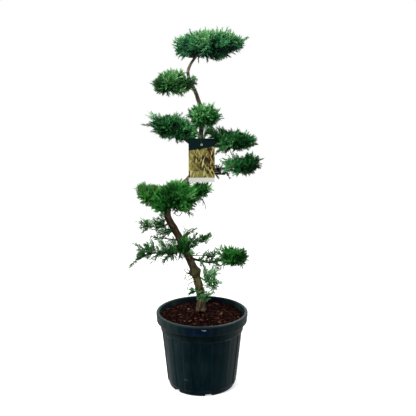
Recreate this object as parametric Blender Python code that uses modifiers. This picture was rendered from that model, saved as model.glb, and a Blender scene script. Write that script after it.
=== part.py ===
# Juniper trained as a tall cloud-pruned bonsai, in its round plastic nursery pot.
# Metres, +Z up. The origin is the middle of the pot's flat underside, and the front looks along -Y.

import math
import random

import bmesh
import bpy
import numpy as np
from mathutils import Matrix, Vector

# Driving dimensions
CLEARANCE = 0.0003  # between pieces that touch
MARGIN = 0.0035  # how far twigs and sprays keep off a limb, the string or the card
CURVE_FINENESS = 24  # points that a smooth path is worked out at between two of its bends
SMOOTH_BELOW_DEG = 35  # edges that turn less than this are shaded smooth

POT_HEIGHT = 0.404
RIM_RADIUS = 0.2415
LIP_HEIGHT = 0.050
SHOULDER_RADIUS = 0.2215
SHOULDER_FOOT = 0.303  # height where the smooth shoulder band steps in to the body
BODY_TOP_RADIUS = 0.2100
BODY_FOOT_RADIUS = 0.1820
FOOT_RADIUS = 0.1765
WALL = 0.0045
FLOOR = 0.021
POT_STEPS = 40
EDGE_EASE = 0.0035  # how far the rim's edges and the bands' tapering walls draw in
FOOT_EASE = 0.006
STEP_RISE = 0.008  # height of the slanted step under the lip, under the shoulder and at the foot
INNER_SPLAY = 0.20  # how the inner wall leans out above the shoulder's foot

RIB_COUNT = 12
RIB_WIDTH = 0.044
RIB_PROUD = 0.0028
RIB_DEPTH = 0.006  # with what is sunk in the wall
RIB_FOOT = 0.030
RIB_OVER = 0.004  # how far a rib runs up into the step at its head
RIB_FIRST_DEG = -51.5  # from +X, so that one rib stands just right of the front
NOTCH_COUNT = 6
NOTCH_WIDTH = 0.036
NOTCH_HEIGHT = 0.017
NOTCH_DEPTH = 0.020
NOTCH_OUT = 0.004
NOTCH_ROUND = 0.006
NOTCH_FIRST_DEG = -78.0

SOIL_EDGE = 0.368
SOIL_CROWN = 0.3800  # flat top of the mound that the trunk stands on
SOIL_FLAT_RADIUS = 0.062

# Where the trunk's middle line leans most: x, y, z
TRUNK_FOOT = SOIL_CROWN + CLEARANCE
TRUNK_BENDS = [
    (-0.006, 0.020, SOIL_CROWN - 0.020),
    (-0.007, 0.020, 0.475),
    (-0.040, 0.009, 0.625),
    (-0.113, -0.005, 0.807),
    (-0.169, -0.008, 0.938),
    (-0.112, 0.015, 1.052),
    (-0.022, 0.030, 1.155),
    (-0.013, 0.026, 1.262),
    (0.001, 0.015, 1.418),
    (-0.030, 0.005, 1.530),
    (-0.066, 0.000, 1.622),
    (-0.056, 0.000, 1.678),
    (-0.030, 0.000, 1.711),
]
TRUNK_BUTT_RADIUS = 0.0210
TRUNK_TIP_RADIUS = 0.0060
TRUNK_TAPER = 1.6  # a power: the taper is slow low down and quick near the tip
TRUNK_SIDES = 12
TRUNK_RINGS = 38
FLARE = 0.007
FLARE_HEIGHT = 0.020
ROOT_COUNT = 5
ROOT_FIRST_DEG = 23.0
ROOT_TOP = 0.026  # above the soil
ROOT_DIP = 0.62  # how steeply a root's shoulder falls
ROOT_RADIUS = 0.013
ROOT_LENGTH = 0.052
BURL_HEIGHT = 0.612
BURL_RADIUS = 0.0265
BURL_SHAPE = (1.0, 0.95, 0.72)
STUBS = [((-1.0, -0.3, -0.15), 0.0385), ((0.8, -0.5, -0.25), 0.0343)]  # of cut boughs: way, reach
STUB_RADIUS = 0.0105
STUB_TAPER = 0.45
STUB_SIDES = 7

# Each bough: the height where it leaves the trunk, the radii at its butt and tip, and its sag midway.
# It heads for the heart of the mass that it carries, and ends where that grows dense.
BOUGHS = {
    "left_high_bough": (1.573, 0.0060, 0.0042, 0.012),
    "centre_bough": (1.372, 0.0062, 0.0048, 0.002),
    "left_middle_bough": (1.270, 0.0090, 0.0062, 0.006),
    "right_middle_bough": (1.290, 0.0075, 0.0052, 0.006),
    "right_lower_bough": (1.190, 0.0066, 0.0044, 0.028),
    "main_left_bough": (0.948, 0.0092, 0.0068, 0.008),
    "main_front_bough": (0.972, 0.0090, 0.0066, 0.004),
    "main_right_bough": (1.040, 0.0070, 0.0050, 0.004),
    "main_back_bough": (1.000, 0.0088, 0.0066, 0.004),
    "left_wisp_bough": (0.882, 0.0046, 0.0030, 0.012),
    "left_spray_bough": (0.752, 0.0064, 0.0040, 0.006),
    "left_near_bough": (0.730, 0.0056, 0.0042, 0.004),
    "left_upper_bough": (0.790, 0.0046, 0.0032, 0.004),
    "right_wisp_bough": (0.778, 0.0050, 0.0036, 0.004),
    "right_low_bough": (0.692, 0.0064, 0.0042, 0.018),
    "low_tuft_bough": (0.606, 0.0046, 0.0032, 0.004),
}
CORE_ROUGHNESS = 0.10
CORE_STAND_OFF = 0.14  # how far outside a core its bough ends, as a share of the mass's reach
OPEN_END = 0.60  # how deep in a thin mass its bough ends, as the same share
BOUGH_SIDES = 6
BOUGH_RINGS = 7
BOUGH_SAMPLES = 200  # along the line to the heart, to find where the bough ends
COLLAR = 1.45  # how much wider a bough is where it leaves the trunk
COLLAR_SHARE = 0.4

# Each mass of foliage keeps to a flattened egg-shaped space of its own: the bough that carries it, or
# its height on the trunk; its centre; its reach along X, along Y, up and down; the slope of its middle
# plane along X; how many branches it has; and its core's share of the space, 0 for a thin mass.
MASSES = {
    "crown_pad": dict(
        carrier="trunk", centre=(0.044, 0.000, 1.760), reach=(0.188, 0.165, 0.086, 0.072),
        slope=0.05, branches=20, core=0.78),
    "left_high_pad": dict(
        carrier="left_high_bough", centre=(-0.154, -0.034, 1.586), reach=(0.120, 0.104, 0.068, 0.062),
        slope=-0.02, branches=13, core=0.62),
    "high_side_tuft": dict(
        carrier=1.586, centre=(-0.030, -0.012, 1.594), reach=(0.024, 0.032, 0.036, 0.036),
        slope=0.00, branches=4, core=0.00),
    "centre_pad": dict(
        carrier="centre_bough", centre=(0.006, -0.060, 1.430), reach=(0.104, 0.086, 0.064, 0.074),
        slope=0.04, branches=11, core=0.68),
    "left_middle_pad": dict(
        carrier="left_middle_bough", centre=(-0.166, 0.016, 1.366), reach=(0.146, 0.116, 0.074, 0.068),
        slope=-0.14, branches=14, core=0.74),
    "right_middle_pad": dict(
        carrier="right_middle_bough", centre=(0.174, 0.030, 1.300), reach=(0.128, 0.112, 0.072, 0.066),
        slope=-0.10, branches=12, core=0.72),
    "right_lower_pad": dict(
        carrier="right_lower_bough", centre=(0.218, -0.040, 1.182), reach=(0.098, 0.088, 0.064, 0.062),
        slope=0.06, branches=10, core=0.70),
    "right_lower_twigs": dict(
        carrier=1.148, centre=(0.098, -0.022, 1.146), reach=(0.052, 0.044, 0.034, 0.034),
        slope=0.10, branches=7, core=0.00),
    "main_left_pad": dict(
        carrier="main_left_bough", centre=(-0.264, -0.006, 1.030), reach=(0.100, 0.114, 0.072, 0.080),
        slope=-0.36, branches=12, core=0.66),
    "main_front_pad": dict(
        carrier="main_front_bough", centre=(-0.132, -0.116, 1.034), reach=(0.126, 0.088, 0.092, 0.102),
        slope=0.06, branches=13, core=0.76),
    "main_right_pad": dict(
        carrier="main_right_bough", centre=(-0.010, -0.026, 1.050), reach=(0.072, 0.090, 0.056, 0.066),
        slope=0.34, branches=9, core=0.70),
    "main_back_pad": dict(
        carrier="main_back_bough", centre=(-0.130, 0.122, 1.014), reach=(0.130, 0.086, 0.082, 0.086),
        slope=0.00, branches=11, core=0.74),
    "left_wisp_far": dict(
        carrier="left_wisp_bough", centre=(-0.294, -0.022, 0.875), reach=(0.046, 0.048, 0.048, 0.050),
        slope=0.00, branches=7, core=0.00),
    "left_wisp_near": dict(
        carrier=0.915, centre=(-0.218, -0.034, 0.890), reach=(0.044, 0.042, 0.040, 0.046),
        slope=0.00, branches=7, core=0.00),
    "left_spray_near": dict(
        carrier="left_near_bough", centre=(-0.180, -0.046, 0.746), reach=(0.072, 0.064, 0.058, 0.056),
        slope=-0.05, branches=12, core=0.00),
    "left_spray_far": dict(
        carrier="left_spray_bough", centre=(-0.304, 0.004, 0.727), reach=(0.080, 0.062, 0.066, 0.074),
        slope=0.30, branches=12, core=0.00),
    "left_spray_top": dict(
        carrier="left_upper_bough", centre=(-0.226, 0.034, 0.798), reach=(0.074, 0.048, 0.030, 0.030),
        slope=-0.10, branches=8, core=0.00),
    "trunk_clump": dict(
        carrier=0.752, centre=(-0.094, -0.070, 0.768), reach=(0.052, 0.046, 0.056, 0.056),
        slope=0.00, branches=7, core=0.66),
    "right_wisp": dict(
        carrier="right_wisp_bough", centre=(-0.008, 0.004, 0.794), reach=(0.068, 0.056, 0.054, 0.054),
        slope=0.10, branches=10, core=0.00),
    "right_low_pad": dict(
        carrier="right_low_bough", centre=(0.171, -0.022, 0.705), reach=(0.076, 0.076, 0.070, 0.070),
        slope=0.00, branches=10, core=0.64),
    "right_low_wisp": dict(
        carrier=0.706, centre=(0.052, -0.016, 0.716), reach=(0.044, 0.038, 0.030, 0.030),
        slope=0.00, branches=6, core=0.00),
    "low_tuft": dict(
        carrier="low_tuft_bough", centre=(0.053, -0.010, 0.569), reach=(0.056, 0.050, 0.068, 0.068),
        slope=0.00, branches=10, core=0.00),
    "foot_tuft_left": dict(
        carrier=0.520, centre=(-0.056, -0.026, 0.536), reach=(0.028, 0.032, 0.034, 0.034),
        slope=0.00, branches=4, core=0.00),
    "foot_tuft_front": dict(
        carrier=0.464, centre=(0.004, -0.040, 0.500), reach=(0.046, 0.036, 0.052, 0.052),
        slope=0.00, branches=6, core=0.00),
}
SEED = 7
HEART_DROP = 0.30  # how far below its centre a mass's stem passes, as a share of its reach down
STEM_ON = 0.35  # how far the stem runs on past the heart, as a share of the reach along X
STEM_POINTS = 5
STEM_STRAIGHT = 0.010  # how far it keeps its bough's direction
STEM_FIT = 0.92  # its radius at first, of its bough's at the tip
STEM_TAPER = 0.5
STEM_SIDES = 6
THIN_STEM = 0.0028  # radius of a stem that leaves the trunk itself
THIN_BEND = 0.2  # how far towards the heart that stem takes its first bend
LEAVE_MIDDLE = 0.5  # where along the stem branches leave it, and how far they spread from there
LEAVE_SPREAD = 0.3
BRANCH_DENSE = 0.40  # how far out towards the edge a branch runs, in a mass with a core and without
BRANCH_OPEN = 0.15
LOWEST_DENSE = -0.55  # how far down the branches of a mass aim, with a core and without
LOWEST_OPEN = -0.80
SPRAY_WIDTH = 0.74  # of its length
SPRAY_THICKNESS = 0.045
SPRAY_SUNK = 0.10
SPRAY_HEART = 0.30  # where along it a spray is thickest
SPRAY_HALF = [(0.04, 0.0), (0.50, 0.52), (0.16, 0.46), (0.38, 0.80), (0.11, 0.68)]  # half its outline
TWIG_RADIUS = 0.0030  # at its root
SPACE_GUARD = 1.12  # twigs keep out of another mass's space, grown by this
SPACE_TIE = 0.10  # unless they lie this much deeper in their own
TEST_STEPS = 5  # points tested along a twig and along each edge of a spray
TEST_RINGS = (1.0, 0.66, 0.33)  # how far in towards a spray's heart it is tested

# Label: a plain card on a loop of string round the trunk
CARD_WIDTH = 0.130
CARD_HEIGHT = 0.218
CARD_THICKNESS = 0.0009
CARD_TOP = 1.3185
CARD_Y = -0.058
CARD_HOLE_RADIUS = 0.003
CARD_HOLE_DROP = 0.031
CARD_HOLE_SIDES = 16
PUNCH_LENGTH = 0.020
STRING_RADIUS = 0.0008
STRING_POINTS = 36
LOOP_HEIGHT = 1.3330
LOOP_TURN = [(138, 1.08, 0.000), (196, 1.10, 0.001), (246, 1.86, 0.002)]  # degrees, width, drop
STRAND_SIDE = 0.0035  # how far each strand hangs from the card's middle
STRAND_OFF = 0.0042  # and how far it bows off the card's faces

COLOURS = {  # base colour (linear), roughness
    "pot_plastic": ((0.006, 0.014, 0.017), 0.38),
    "bark_mulch": ((0.035, 0.013, 0.009), 0.95),
    "juniper_bark": ((0.110, 0.080, 0.055), 0.90),
    "juniper_foliage": ((0.020, 0.110, 0.030), 0.70),
    "label_card": ((0.30, 0.28, 0.12), 0.45),
    "label_string": ((0.75, 0.78, 0.74), 0.50),
}


# Materials and objects

def make_materials():
    made = {}
    for name, (colour, roughness) in COLOURS.items():
        material = bpy.data.materials.new(name)
        material.use_nodes = True
        shader = material.node_tree.nodes["Principled BSDF"]
        shader.inputs["Base Color"].default_value = (*colour, 1.0)
        shader.inputs["Roughness"].default_value = roughness
        shader.inputs["Metallic"].default_value = 0.0
        material.diffuse_color = (*colour, 1.0)
        made[name] = material
    return made


def new_object(name, mesh, collection, matrix=None):
    made = bpy.data.objects.new(name, mesh)
    collection.objects.link(made)
    if matrix is not None:
        made.matrix_world = matrix
    return made


def mesh_from(name, bm):
    mesh = bpy.data.meshes.new(name)
    bm.to_mesh(mesh)
    bm.free()
    return mesh


def evaluated_mesh(source):
    """The object's mesh with its modifiers applied, in world space."""
    bpy.context.view_layer.update()
    seen = source.evaluated_get(bpy.context.evaluated_depsgraph_get())
    mesh = bpy.data.meshes.new_from_object(seen)
    mesh.transform(source.matrix_world)
    return mesh


def set_mesh(target, mesh):
    old = target.data
    target.modifiers.clear()
    target.data = mesh
    target.matrix_world = Matrix.Identity(4)
    if old.users == 0:
        bpy.data.meshes.remove(old)


def keep_largest_body(mesh):
    """Drops loose scraps, and the skins of sealed hollows, so that one solid is left."""
    bm = bmesh.new()
    bm.from_mesh(mesh)
    unseen = set(bm.faces)
    bodies = []
    while unseen:
        body, front = [], [unseen.pop()]
        while front:
            face = front.pop()
            body.append(face)
            linked = {other for edge in face.edges for other in edge.link_faces} & unseen
            unseen -= linked
            front.extend(linked)
        bodies.append(body)
    bodies.sort(key=lambda body: sum(face.calc_area() for face in body))
    spare = [face for body in bodies[:-1] for face in body]
    bmesh.ops.delete(bm, geom=spare, context="FACES")
    bm.to_mesh(mesh)
    bm.free()


def combine(target, others, operation, solver="EXACT"):
    """Joins the others to target, or cuts them from it, by one Boolean on their collection."""
    operands = bpy.data.collections.new(target.name + "_operands")
    bpy.context.scene.collection.children.link(operands)
    for other in others:
        for holder in list(other.users_collection):
            holder.objects.unlink(other)
        operands.objects.link(other)
    modifier = target.modifiers.new("combine", "BOOLEAN")
    modifier.operation = operation
    modifier.operand_type = "COLLECTION"
    modifier.collection = operands
    modifier.solver = solver
    mesh = evaluated_mesh(target)
    keep_largest_body(mesh)
    set_mesh(target, mesh)
    for other in list(operands.objects):
        bpy.data.objects.remove(other)
    bpy.data.collections.remove(operands)


def cut_clear(target, cutter):
    """Cuts target clear of a swollen copy of a limb, which is kept for the next piece."""
    modifier = target.modifiers.new("clear", "BOOLEAN")
    modifier.operation = "DIFFERENCE"
    modifier.object = cutter
    modifier.solver = "EXACT"
    mesh = evaluated_mesh(target)
    keep_largest_body(mesh)
    set_mesh(target, mesh)


def turned(name, profile, collection):
    """A solid of revolution, whose profile runs from the axis up the inner side and down the outer."""
    mesh = bpy.data.meshes.new(name)
    corners = [(radius, 0.0, height) for radius, height in profile]
    mesh.from_pydata(corners, [(i, i + 1) for i in range(len(corners) - 1)], [])
    made = new_object(name, mesh, collection)
    screw = made.modifiers.new("turn", "SCREW")
    screw.steps = screw.render_steps = POT_STEPS
    screw.use_merge_vertices = True
    screw.merge_threshold = 0.0001
    set_mesh(made, evaluated_mesh(made))
    return made


def smooth_path(points, count, closed=False):
    """Points of a Catmull-Rom curve through the given points, evenly spaced by length."""
    points = np.array(points, float)
    if closed:
        padded = np.vstack([points[-1], points, points[:2]])
    else:
        padded = np.vstack([2 * points[0] - points[1], points, 2 * points[-1] - points[-2]])
    share = np.linspace(0, 1, CURVE_FINENESS, endpoint=False)[:, None]
    runs = []
    for a, b, c, d in zip(padded, padded[1:], padded[2:], padded[3:]):
        runs.append(0.5 * (2 * b + (c - a) * share + (2 * a - 5 * b + 4 * c - d) * share**2
                           + (3 * b - a - 3 * c + d) * share**3))
    fine = np.vstack([*runs, padded[-2][None]])
    along = np.concatenate([[0], np.cumsum(np.linalg.norm(np.diff(fine, axis=0), axis=1))])
    wanted = np.linspace(0, along[-1], count + closed)[:count]
    return np.stack([np.interp(wanted, along, fine[:, axis]) for axis in range(3)], axis=1)


def tube(name, points, radii, sides, collection, closed=False):
    """A round limb or string along points, with a radius at each and flat ends."""
    curve = bpy.data.curves.new(name, "CURVE")
    curve.dimensions = "3D"
    curve.bevel_depth = 1.0
    curve.bevel_resolution = sides // 2 - 2
    curve.use_fill_caps = True
    spline = curve.splines.new("POLY")
    spline.points.add(len(points) - 1)
    spline.use_cyclic_u = closed
    for spot, point, radius in zip(spline.points, points, radii):
        spot.co = (*point, 1.0)
        spot.radius = radius
    guide = new_object(name + "_guide", curve, collection)
    mesh = evaluated_mesh(guide)
    bpy.data.objects.remove(guide)
    bm = bmesh.new()
    bm.from_mesh(mesh)
    bmesh.ops.remove_doubles(bm, verts=bm.verts, dist=1e-6)
    bm.to_mesh(mesh)
    bm.free()
    return new_object(name, mesh, collection)


# Pot and soil

def wall_radius(height):
    """Outer radius of the pot's tapering body at a height."""
    share = (height - RIB_FOOT) / (SHOULDER_FOOT - RIB_FOOT)
    return BODY_FOOT_RADIUS + share * (BODY_TOP_RADIUS - BODY_FOOT_RADIUS)


def inner_radius(height):
    return wall_radius(min(height, SHOULDER_FOOT)) - WALL + max(0.0, height - SHOULDER_FOOT) * INNER_SPLAY


def make_pot(collection):
    lip_foot = POT_HEIGHT - LIP_HEIGHT
    profile = [
        (0.0, FLOOR),
        (inner_radius(FLOOR), FLOOR),
        (inner_radius(SHOULDER_FOOT), SHOULDER_FOOT),
        (inner_radius(POT_HEIGHT), POT_HEIGHT),
        (RIM_RADIUS - EDGE_EASE, POT_HEIGHT),
        (RIM_RADIUS, POT_HEIGHT - EDGE_EASE),
        (RIM_RADIUS - EDGE_EASE, lip_foot),
        (SHOULDER_RADIUS, lip_foot - STEP_RISE),
        (SHOULDER_RADIUS - EDGE_EASE, SHOULDER_FOOT + STEP_RISE),
        (wall_radius(SHOULDER_FOOT), SHOULDER_FOOT),
        (wall_radius(RIB_FOOT), RIB_FOOT),
        (FOOT_RADIUS, STEP_RISE),
        (FOOT_RADIUS - FOOT_EASE, 0.0),
        (0.0, 0.0),
    ]
    pot = turned("pot", profile, collection)
    combine(pot, [make_rib(index, collection) for index in range(RIB_COUNT)], "UNION")
    combine(pot, [make_notch(index, collection) for index in range(NOTCH_COUNT)], "DIFFERENCE")
    return pot


def make_rib(index, collection):
    """A broad flat rib on the body, leaning with the wall."""
    angle = math.radians(RIB_FIRST_DEG + index * 360 / RIB_COUNT)
    foot = Vector((wall_radius(RIB_FOOT), 0.0, RIB_FOOT))
    head = Vector((wall_radius(SHOULDER_FOOT), 0.0, SHOULDER_FOOT + RIB_OVER))
    bm = bmesh.new()
    bmesh.ops.create_cube(bm, size=1.0)
    bmesh.ops.scale(bm, vec=(RIB_DEPTH, RIB_WIDTH, (head - foot).length), verts=bm.verts)
    bmesh.ops.translate(bm, vec=(RIB_PROUD - RIB_DEPTH / 2, 0.0, 0.0), verts=bm.verts)
    lean = Matrix.Rotation(math.atan2(head.x - foot.x, head.z - foot.z), 4, "Y")
    place = Matrix.Rotation(angle, 4, "Z") @ Matrix.Translation((foot + head) / 2) @ lean
    return new_object(f"rib_{index}", mesh_from("rib", bm), collection, place)


def make_notch(index, collection):
    """A cutter for one drainage notch in the foot's edge."""
    angle = math.radians(NOTCH_FIRST_DEG + index * 360 / NOTCH_COUNT)
    bm = bmesh.new()
    bmesh.ops.create_cube(bm, size=1.0)
    bmesh.ops.scale(bm, vec=(2 * NOTCH_DEPTH, NOTCH_WIDTH, 2 * NOTCH_HEIGHT), verts=bm.verts)
    top_edges = [edge for edge in bm.edges if all(vert.co.z > 0 for vert in edge.verts)
                 and edge.verts[0].co.y * edge.verts[1].co.y > 0]
    bmesh.ops.bevel(bm, geom=top_edges, offset=NOTCH_ROUND, segments=2, affect="EDGES")
    place = Matrix.Rotation(angle, 4, "Z") @ Matrix.Translation((FOOT_RADIUS + NOTCH_OUT, 0.0, 0.0))
    return new_object(f"notch_{index}", mesh_from("notch", bm), collection, place)


def make_mulch(collection):
    gap = CLEARANCE
    foot = FLOOR + gap
    profile = [
        (0.0, foot),
        (inner_radius(FLOOR) - gap, foot),
        (inner_radius(SHOULDER_FOOT) - gap, SHOULDER_FOOT),
        (inner_radius(SOIL_EDGE) - gap, SOIL_EDGE),
        (SOIL_FLAT_RADIUS, SOIL_CROWN),
        (0.0, SOIL_CROWN),
    ]
    return turned("bark_mulch", profile[::-1], collection)


# Trunk and boughs

def trunk_path():
    return smooth_path(TRUNK_BENDS, TRUNK_RINGS)


def trunk_radii(path):
    """A slow taper low down and a quick one near the tip, with a flare at the foot."""
    share = np.linspace(0, 1, len(path))
    taper = TRUNK_TIP_RADIUS + (TRUNK_BUTT_RADIUS - TRUNK_TIP_RADIUS) * (1 - share**TRUNK_TAPER)
    return taper + FLARE * np.exp(-np.clip(path[:, 2] - SOIL_CROWN, 0, None) / FLARE_HEIGHT)


def trunk_at(height):
    """Middle and radius of the trunk where it passes a height."""
    path = trunk_path()
    spot = [np.interp(height, path[:, 2], path[:, axis]) for axis in range(2)]
    return Vector((*spot, height)), float(np.interp(height, path[:, 2], trunk_radii(path)))


def stub(name, start, direction, length, radius, collection):
    """A short tapering stump, such as a pruned twig or a root's shoulder."""
    bm = bmesh.new()
    bmesh.ops.create_cone(bm, cap_ends=True, segments=STUB_SIDES, radius1=radius,
                          radius2=radius * STUB_TAPER, depth=length)
    bmesh.ops.translate(bm, vec=(0, 0, length / 2), verts=bm.verts)
    turn = Vector(direction).to_track_quat("Z", "X").to_matrix().to_4x4()
    return new_object(name, mesh_from(name, bm), collection, Matrix.Translation(start) @ turn)


def make_trunk(name, swell, collection):
    """The trunk, or a copy swollen all round that cuts other pieces clear of it."""
    path = trunk_path()
    trunk = tube(name, path, trunk_radii(path) + swell, TRUNK_SIDES, collection)
    extras = []
    for index in range(ROOT_COUNT):
        angle = math.radians(ROOT_FIRST_DEG + index * 360 / ROOT_COUNT)
        outward = Vector((math.cos(angle), math.sin(angle), -ROOT_DIP))
        start = Vector((TRUNK_BENDS[0][0], TRUNK_BENDS[0][1], SOIL_CROWN + ROOT_TOP))
        extras.append(stub(f"root_{index}", start, outward, ROOT_LENGTH, ROOT_RADIUS + swell, collection))
    burl, _ = trunk_at(BURL_HEIGHT)
    bm = bmesh.new()
    bmesh.ops.create_icosphere(bm, subdivisions=2, radius=BURL_RADIUS + swell)
    bmesh.ops.scale(bm, vec=BURL_SHAPE, verts=bm.verts)
    extras.append(new_object("burl", mesh_from("burl", bm), collection, Matrix.Translation(burl)))
    for index, (direction, reach) in enumerate(STUBS):
        radius = STUB_RADIUS + swell
        extras.append(stub(f"stub_{index}", burl, direction, reach + swell, radius, collection))
    combine(trunk, extras, "UNION")
    bm = bmesh.new()
    bmesh.ops.create_cube(bm, size=2 * TRUNK_FOOT)
    combine(trunk, [new_object("below", mesh_from("below", bm), collection)], "DIFFERENCE")
    return trunk


def heart_of(mass):
    """The middle of a mass's twigs, rather low in its space."""
    return Vector(mass["centre"]) - Vector((0.0, 0.0, HEART_DROP * mass["reach"][3]))


def bough_path(name):
    """A bough's middle line and radii, from inside the trunk to where the foliage grows dense."""
    height, butt, end, sag = BOUGHS[name]
    mass = next(mass for mass in MASSES.values() if mass["carrier"] == name)
    start, _ = trunk_at(height)
    depth = mass["core"] + CORE_STAND_OFF if mass["core"] else OPEN_END
    line = [start.lerp(heart_of(mass), share) for share in np.linspace(0, 1, BOUGH_SAMPLES)]
    tip = line[int(np.argmax(space_depth(mass, line) < depth))]
    middle = (start + tip) / 2 - Vector((0.0, 0.0, sag))
    path = smooth_path([start, middle, tip], BOUGH_RINGS)
    share = np.linspace(0, 1, BOUGH_RINGS)
    collar = 1 + (COLLAR - 1) * np.clip(1 - share / COLLAR_SHARE, 0, 1) ** 2
    return path, (butt + (end - butt) * share) * collar


def make_bough(name, trunk_cutter, collection):
    path, radii = bough_path(name)
    bough = tube(name, path, radii, BOUGH_SIDES, collection)
    cut_clear(bough, trunk_cutter)
    return bough


# Foliage

def spray_outline():
    """The outline of a toothed blade, one long along +Y and one wide."""
    return SPRAY_HALF + [(0.0, 1.0)] + [(-x, y) for x, y in reversed(SPRAY_HALF)]


def unit_spray():
    """A toothed blade that thins from its middle to its edge on both sides."""
    outline = spray_outline()
    count = len(outline)
    corners = [(x, y, 0.0) for x, y in outline] + [(0.0, SPRAY_HEART, 0.5), (0.0, SPRAY_HEART, -0.5)]
    faces = []
    for index in range(count):
        after = (index + 1) % count
        faces += [(index, after, count), (after, index, count + 1)]
    mesh = bpy.data.meshes.new("spray")
    mesh.from_pydata(corners, [], faces)
    return mesh


def spray_points(matrix):
    """Points all over a blade, in the world: along its outline, and on rings drawn in from it."""
    outline = np.array(spray_outline())
    runs = np.roll(outline, -1, axis=0) - outline
    edges = [outline + runs * step / TEST_STEPS for step in range(TEST_STEPS)]
    rim = np.vstack(edges) - (0.0, SPRAY_HEART)
    flat = np.vstack([rim * ring for ring in TEST_RINGS]) + (0.0, SPRAY_HEART)
    local = np.column_stack([flat, np.zeros(len(flat)), np.ones(len(flat))])
    return (local @ np.array(matrix).T)[:, :3]


def unit_twig():
    """A three-sided twig that runs out to a point, one long along +Y, of radius 1 at its root."""
    bm = bmesh.new()
    bmesh.ops.create_cone(bm, cap_ends=True, segments=3, radius1=1.0, radius2=0.0, depth=1.0)
    bmesh.ops.translate(bm, vec=(0, 0, 0.5), verts=bm.verts)
    bmesh.ops.rotate(bm, matrix=Matrix.Rotation(-math.pi / 2, 3, "X"), verts=bm.verts)
    return mesh_from("twig", bm)


def along(start, end, width, thickness, roll):
    """The matrix that lays a unit piece from start to end, rolled about its length."""
    run = end - start
    turn = run.to_track_quat("Y", "Z").to_matrix().to_4x4() @ Matrix.Rotation(roll, 4, "Y")
    return Matrix.Translation(start) @ turn @ Matrix.Diagonal((width, run.length, thickness, 1.0))


def sphere_directions(count, lowest):
    """Unit directions spread evenly by the golden angle, from straight up down to the lowest height."""
    for index in range(count):
        height = 1 - (1 - lowest) * (index + 0.5) / count
        angle = index * math.pi * (3 - math.sqrt(5))
        across = math.sqrt(max(0.0, 1 - height * height))
        yield Vector((across * math.cos(angle), across * math.sin(angle), height))


def space_depth(mass, points):
    """How far out points lie in a mass's space: 0 at its centre and 1 at its edge."""
    x, y, up, down = mass["reach"]
    away = np.asarray(points, float) - np.array(mass["centre"])
    rise = away[:, 2] - mass["slope"] * away[:, 0]
    tall = np.where(rise > 0, up, down)
    return np.sqrt((away[:, 0] / x) ** 2 + (away[:, 1] / y) ** 2 + (rise / tall) ** 2)


def edge_point(mass, direction):
    """The point on the edge of a mass's space in a direction, given on the unit sphere."""
    x, y, up, down = mass["reach"]
    away = Vector((direction.x * x, direction.y * y, direction.z * (up if direction.z > 0 else down)))
    away.z += mass["slope"] * away.x
    return Vector(mass["centre"]) + away


def limb_gap(points, limbs):
    """The smallest distance from any of the points to the skin of a limb."""
    points = np.asarray(points, float)
    nearest = 1.0
    for path, radii in limbs:
        starts, runs = path[:-1], np.diff(path, axis=0)
        to_point = points[:, None] - starts
        share = np.clip((to_point * runs).sum(2) / (runs * runs).sum(1), 0, 1)
        gaps = np.linalg.norm(to_point - share[:, :, None] * runs, axis=2)
        gaps -= np.maximum(radii[:-1], radii[1:])
        nearest = min(nearest, gaps.min())
    return nearest


def clear_of_card(points):
    away = np.abs(np.asarray(points, float) - [0.0, CARD_Y, CARD_TOP - CARD_HEIGHT / 2])
    half = np.array([CARD_WIDTH, CARD_THICKNESS, CARD_HEIGHT]) / 2 + MARGIN
    return not (away < half).all(1).any()


def has_room(name, points, limbs):
    """True where points stay off the limbs and the card, and out of the other masses' spaces."""
    if limb_gap(points, limbs) < MARGIN or not clear_of_card(points):
        return False
    own = space_depth(MASSES[name], points)
    for other in MASSES:
        if other != name:
            theirs = space_depth(MASSES[other], points)
            if ((theirs < SPACE_GUARD) & (theirs < own + SPACE_TIE)).any():
                return False
    return True


def stem_path(name, paths):
    """A mass's stem, from just past its bough's tip or from inside the trunk, through its heart."""
    mass = MASSES[name]
    heart = heart_of(mass)
    if isinstance(mass["carrier"], str):
        path, radii = paths[mass["carrier"]]
        tip = Vector(path[-1])
        outward = (tip - Vector(path[-2])).normalized()
        start, bend = tip + outward * CLEARANCE, tip + outward * STEM_STRAIGHT
        radius = STEM_FIT * radii[-1]
    else:
        start, _ = trunk_at(mass["carrier"])
        bend = start.lerp(heart, THIN_BEND)
        radius = THIN_STEM
    onward = heart + (heart - bend).normalized() * STEM_ON * mass["reach"][0]
    stem = np.vstack([start, smooth_path([bend, heart, onward], STEM_POINTS)])
    return stem, np.linspace(radius, STEM_TAPER * radius, len(stem))


def make_core(mass, trunk_cutter, collection, chance):
    """The dense inside of a mass, of the same shape as its space but rough, cut clear of the trunk."""
    x, y, up, down = (mass["core"] * size for size in mass["reach"])
    bm = bmesh.new()
    bmesh.ops.create_icosphere(bm, subdivisions=2, radius=1.0)
    for vert in bm.verts:
        vert.co *= 1 + chance.uniform(-CORE_ROUGHNESS, CORE_ROUGHNESS)
        vert.co = (vert.co.x * x, vert.co.y * y, vert.co.z * (up if vert.co.z > 0 else down))
        vert.co.z += mass["slope"] * vert.co.x
    core = new_object("core", mesh_from("core", bm), collection, Matrix.Translation(mass["centre"]))
    cut_clear(core, trunk_cutter)
    return core


def branch_rows(mass, stem):
    """The rule that a mass grows by: branches leave its stem towards evenly spread points of its edge."""
    onward = Vector(stem[-1] - stem[0]).normalized()
    lowest, run = (LOWEST_DENSE, BRANCH_DENSE) if mass["core"] else (LOWEST_OPEN, BRANCH_OPEN)
    share = np.linspace(0, 1, len(stem))
    for direction in sphere_directions(mass["branches"], lowest):
        leave = LEAVE_MIDDLE + LEAVE_SPREAD * direction.dot(onward)
        root = Vector([np.interp(leave, share, stem[:, axis]) for axis in range(3)])
        edge = edge_point(mass, direction)
        yield root, root.lerp(edge, run), edge


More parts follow.
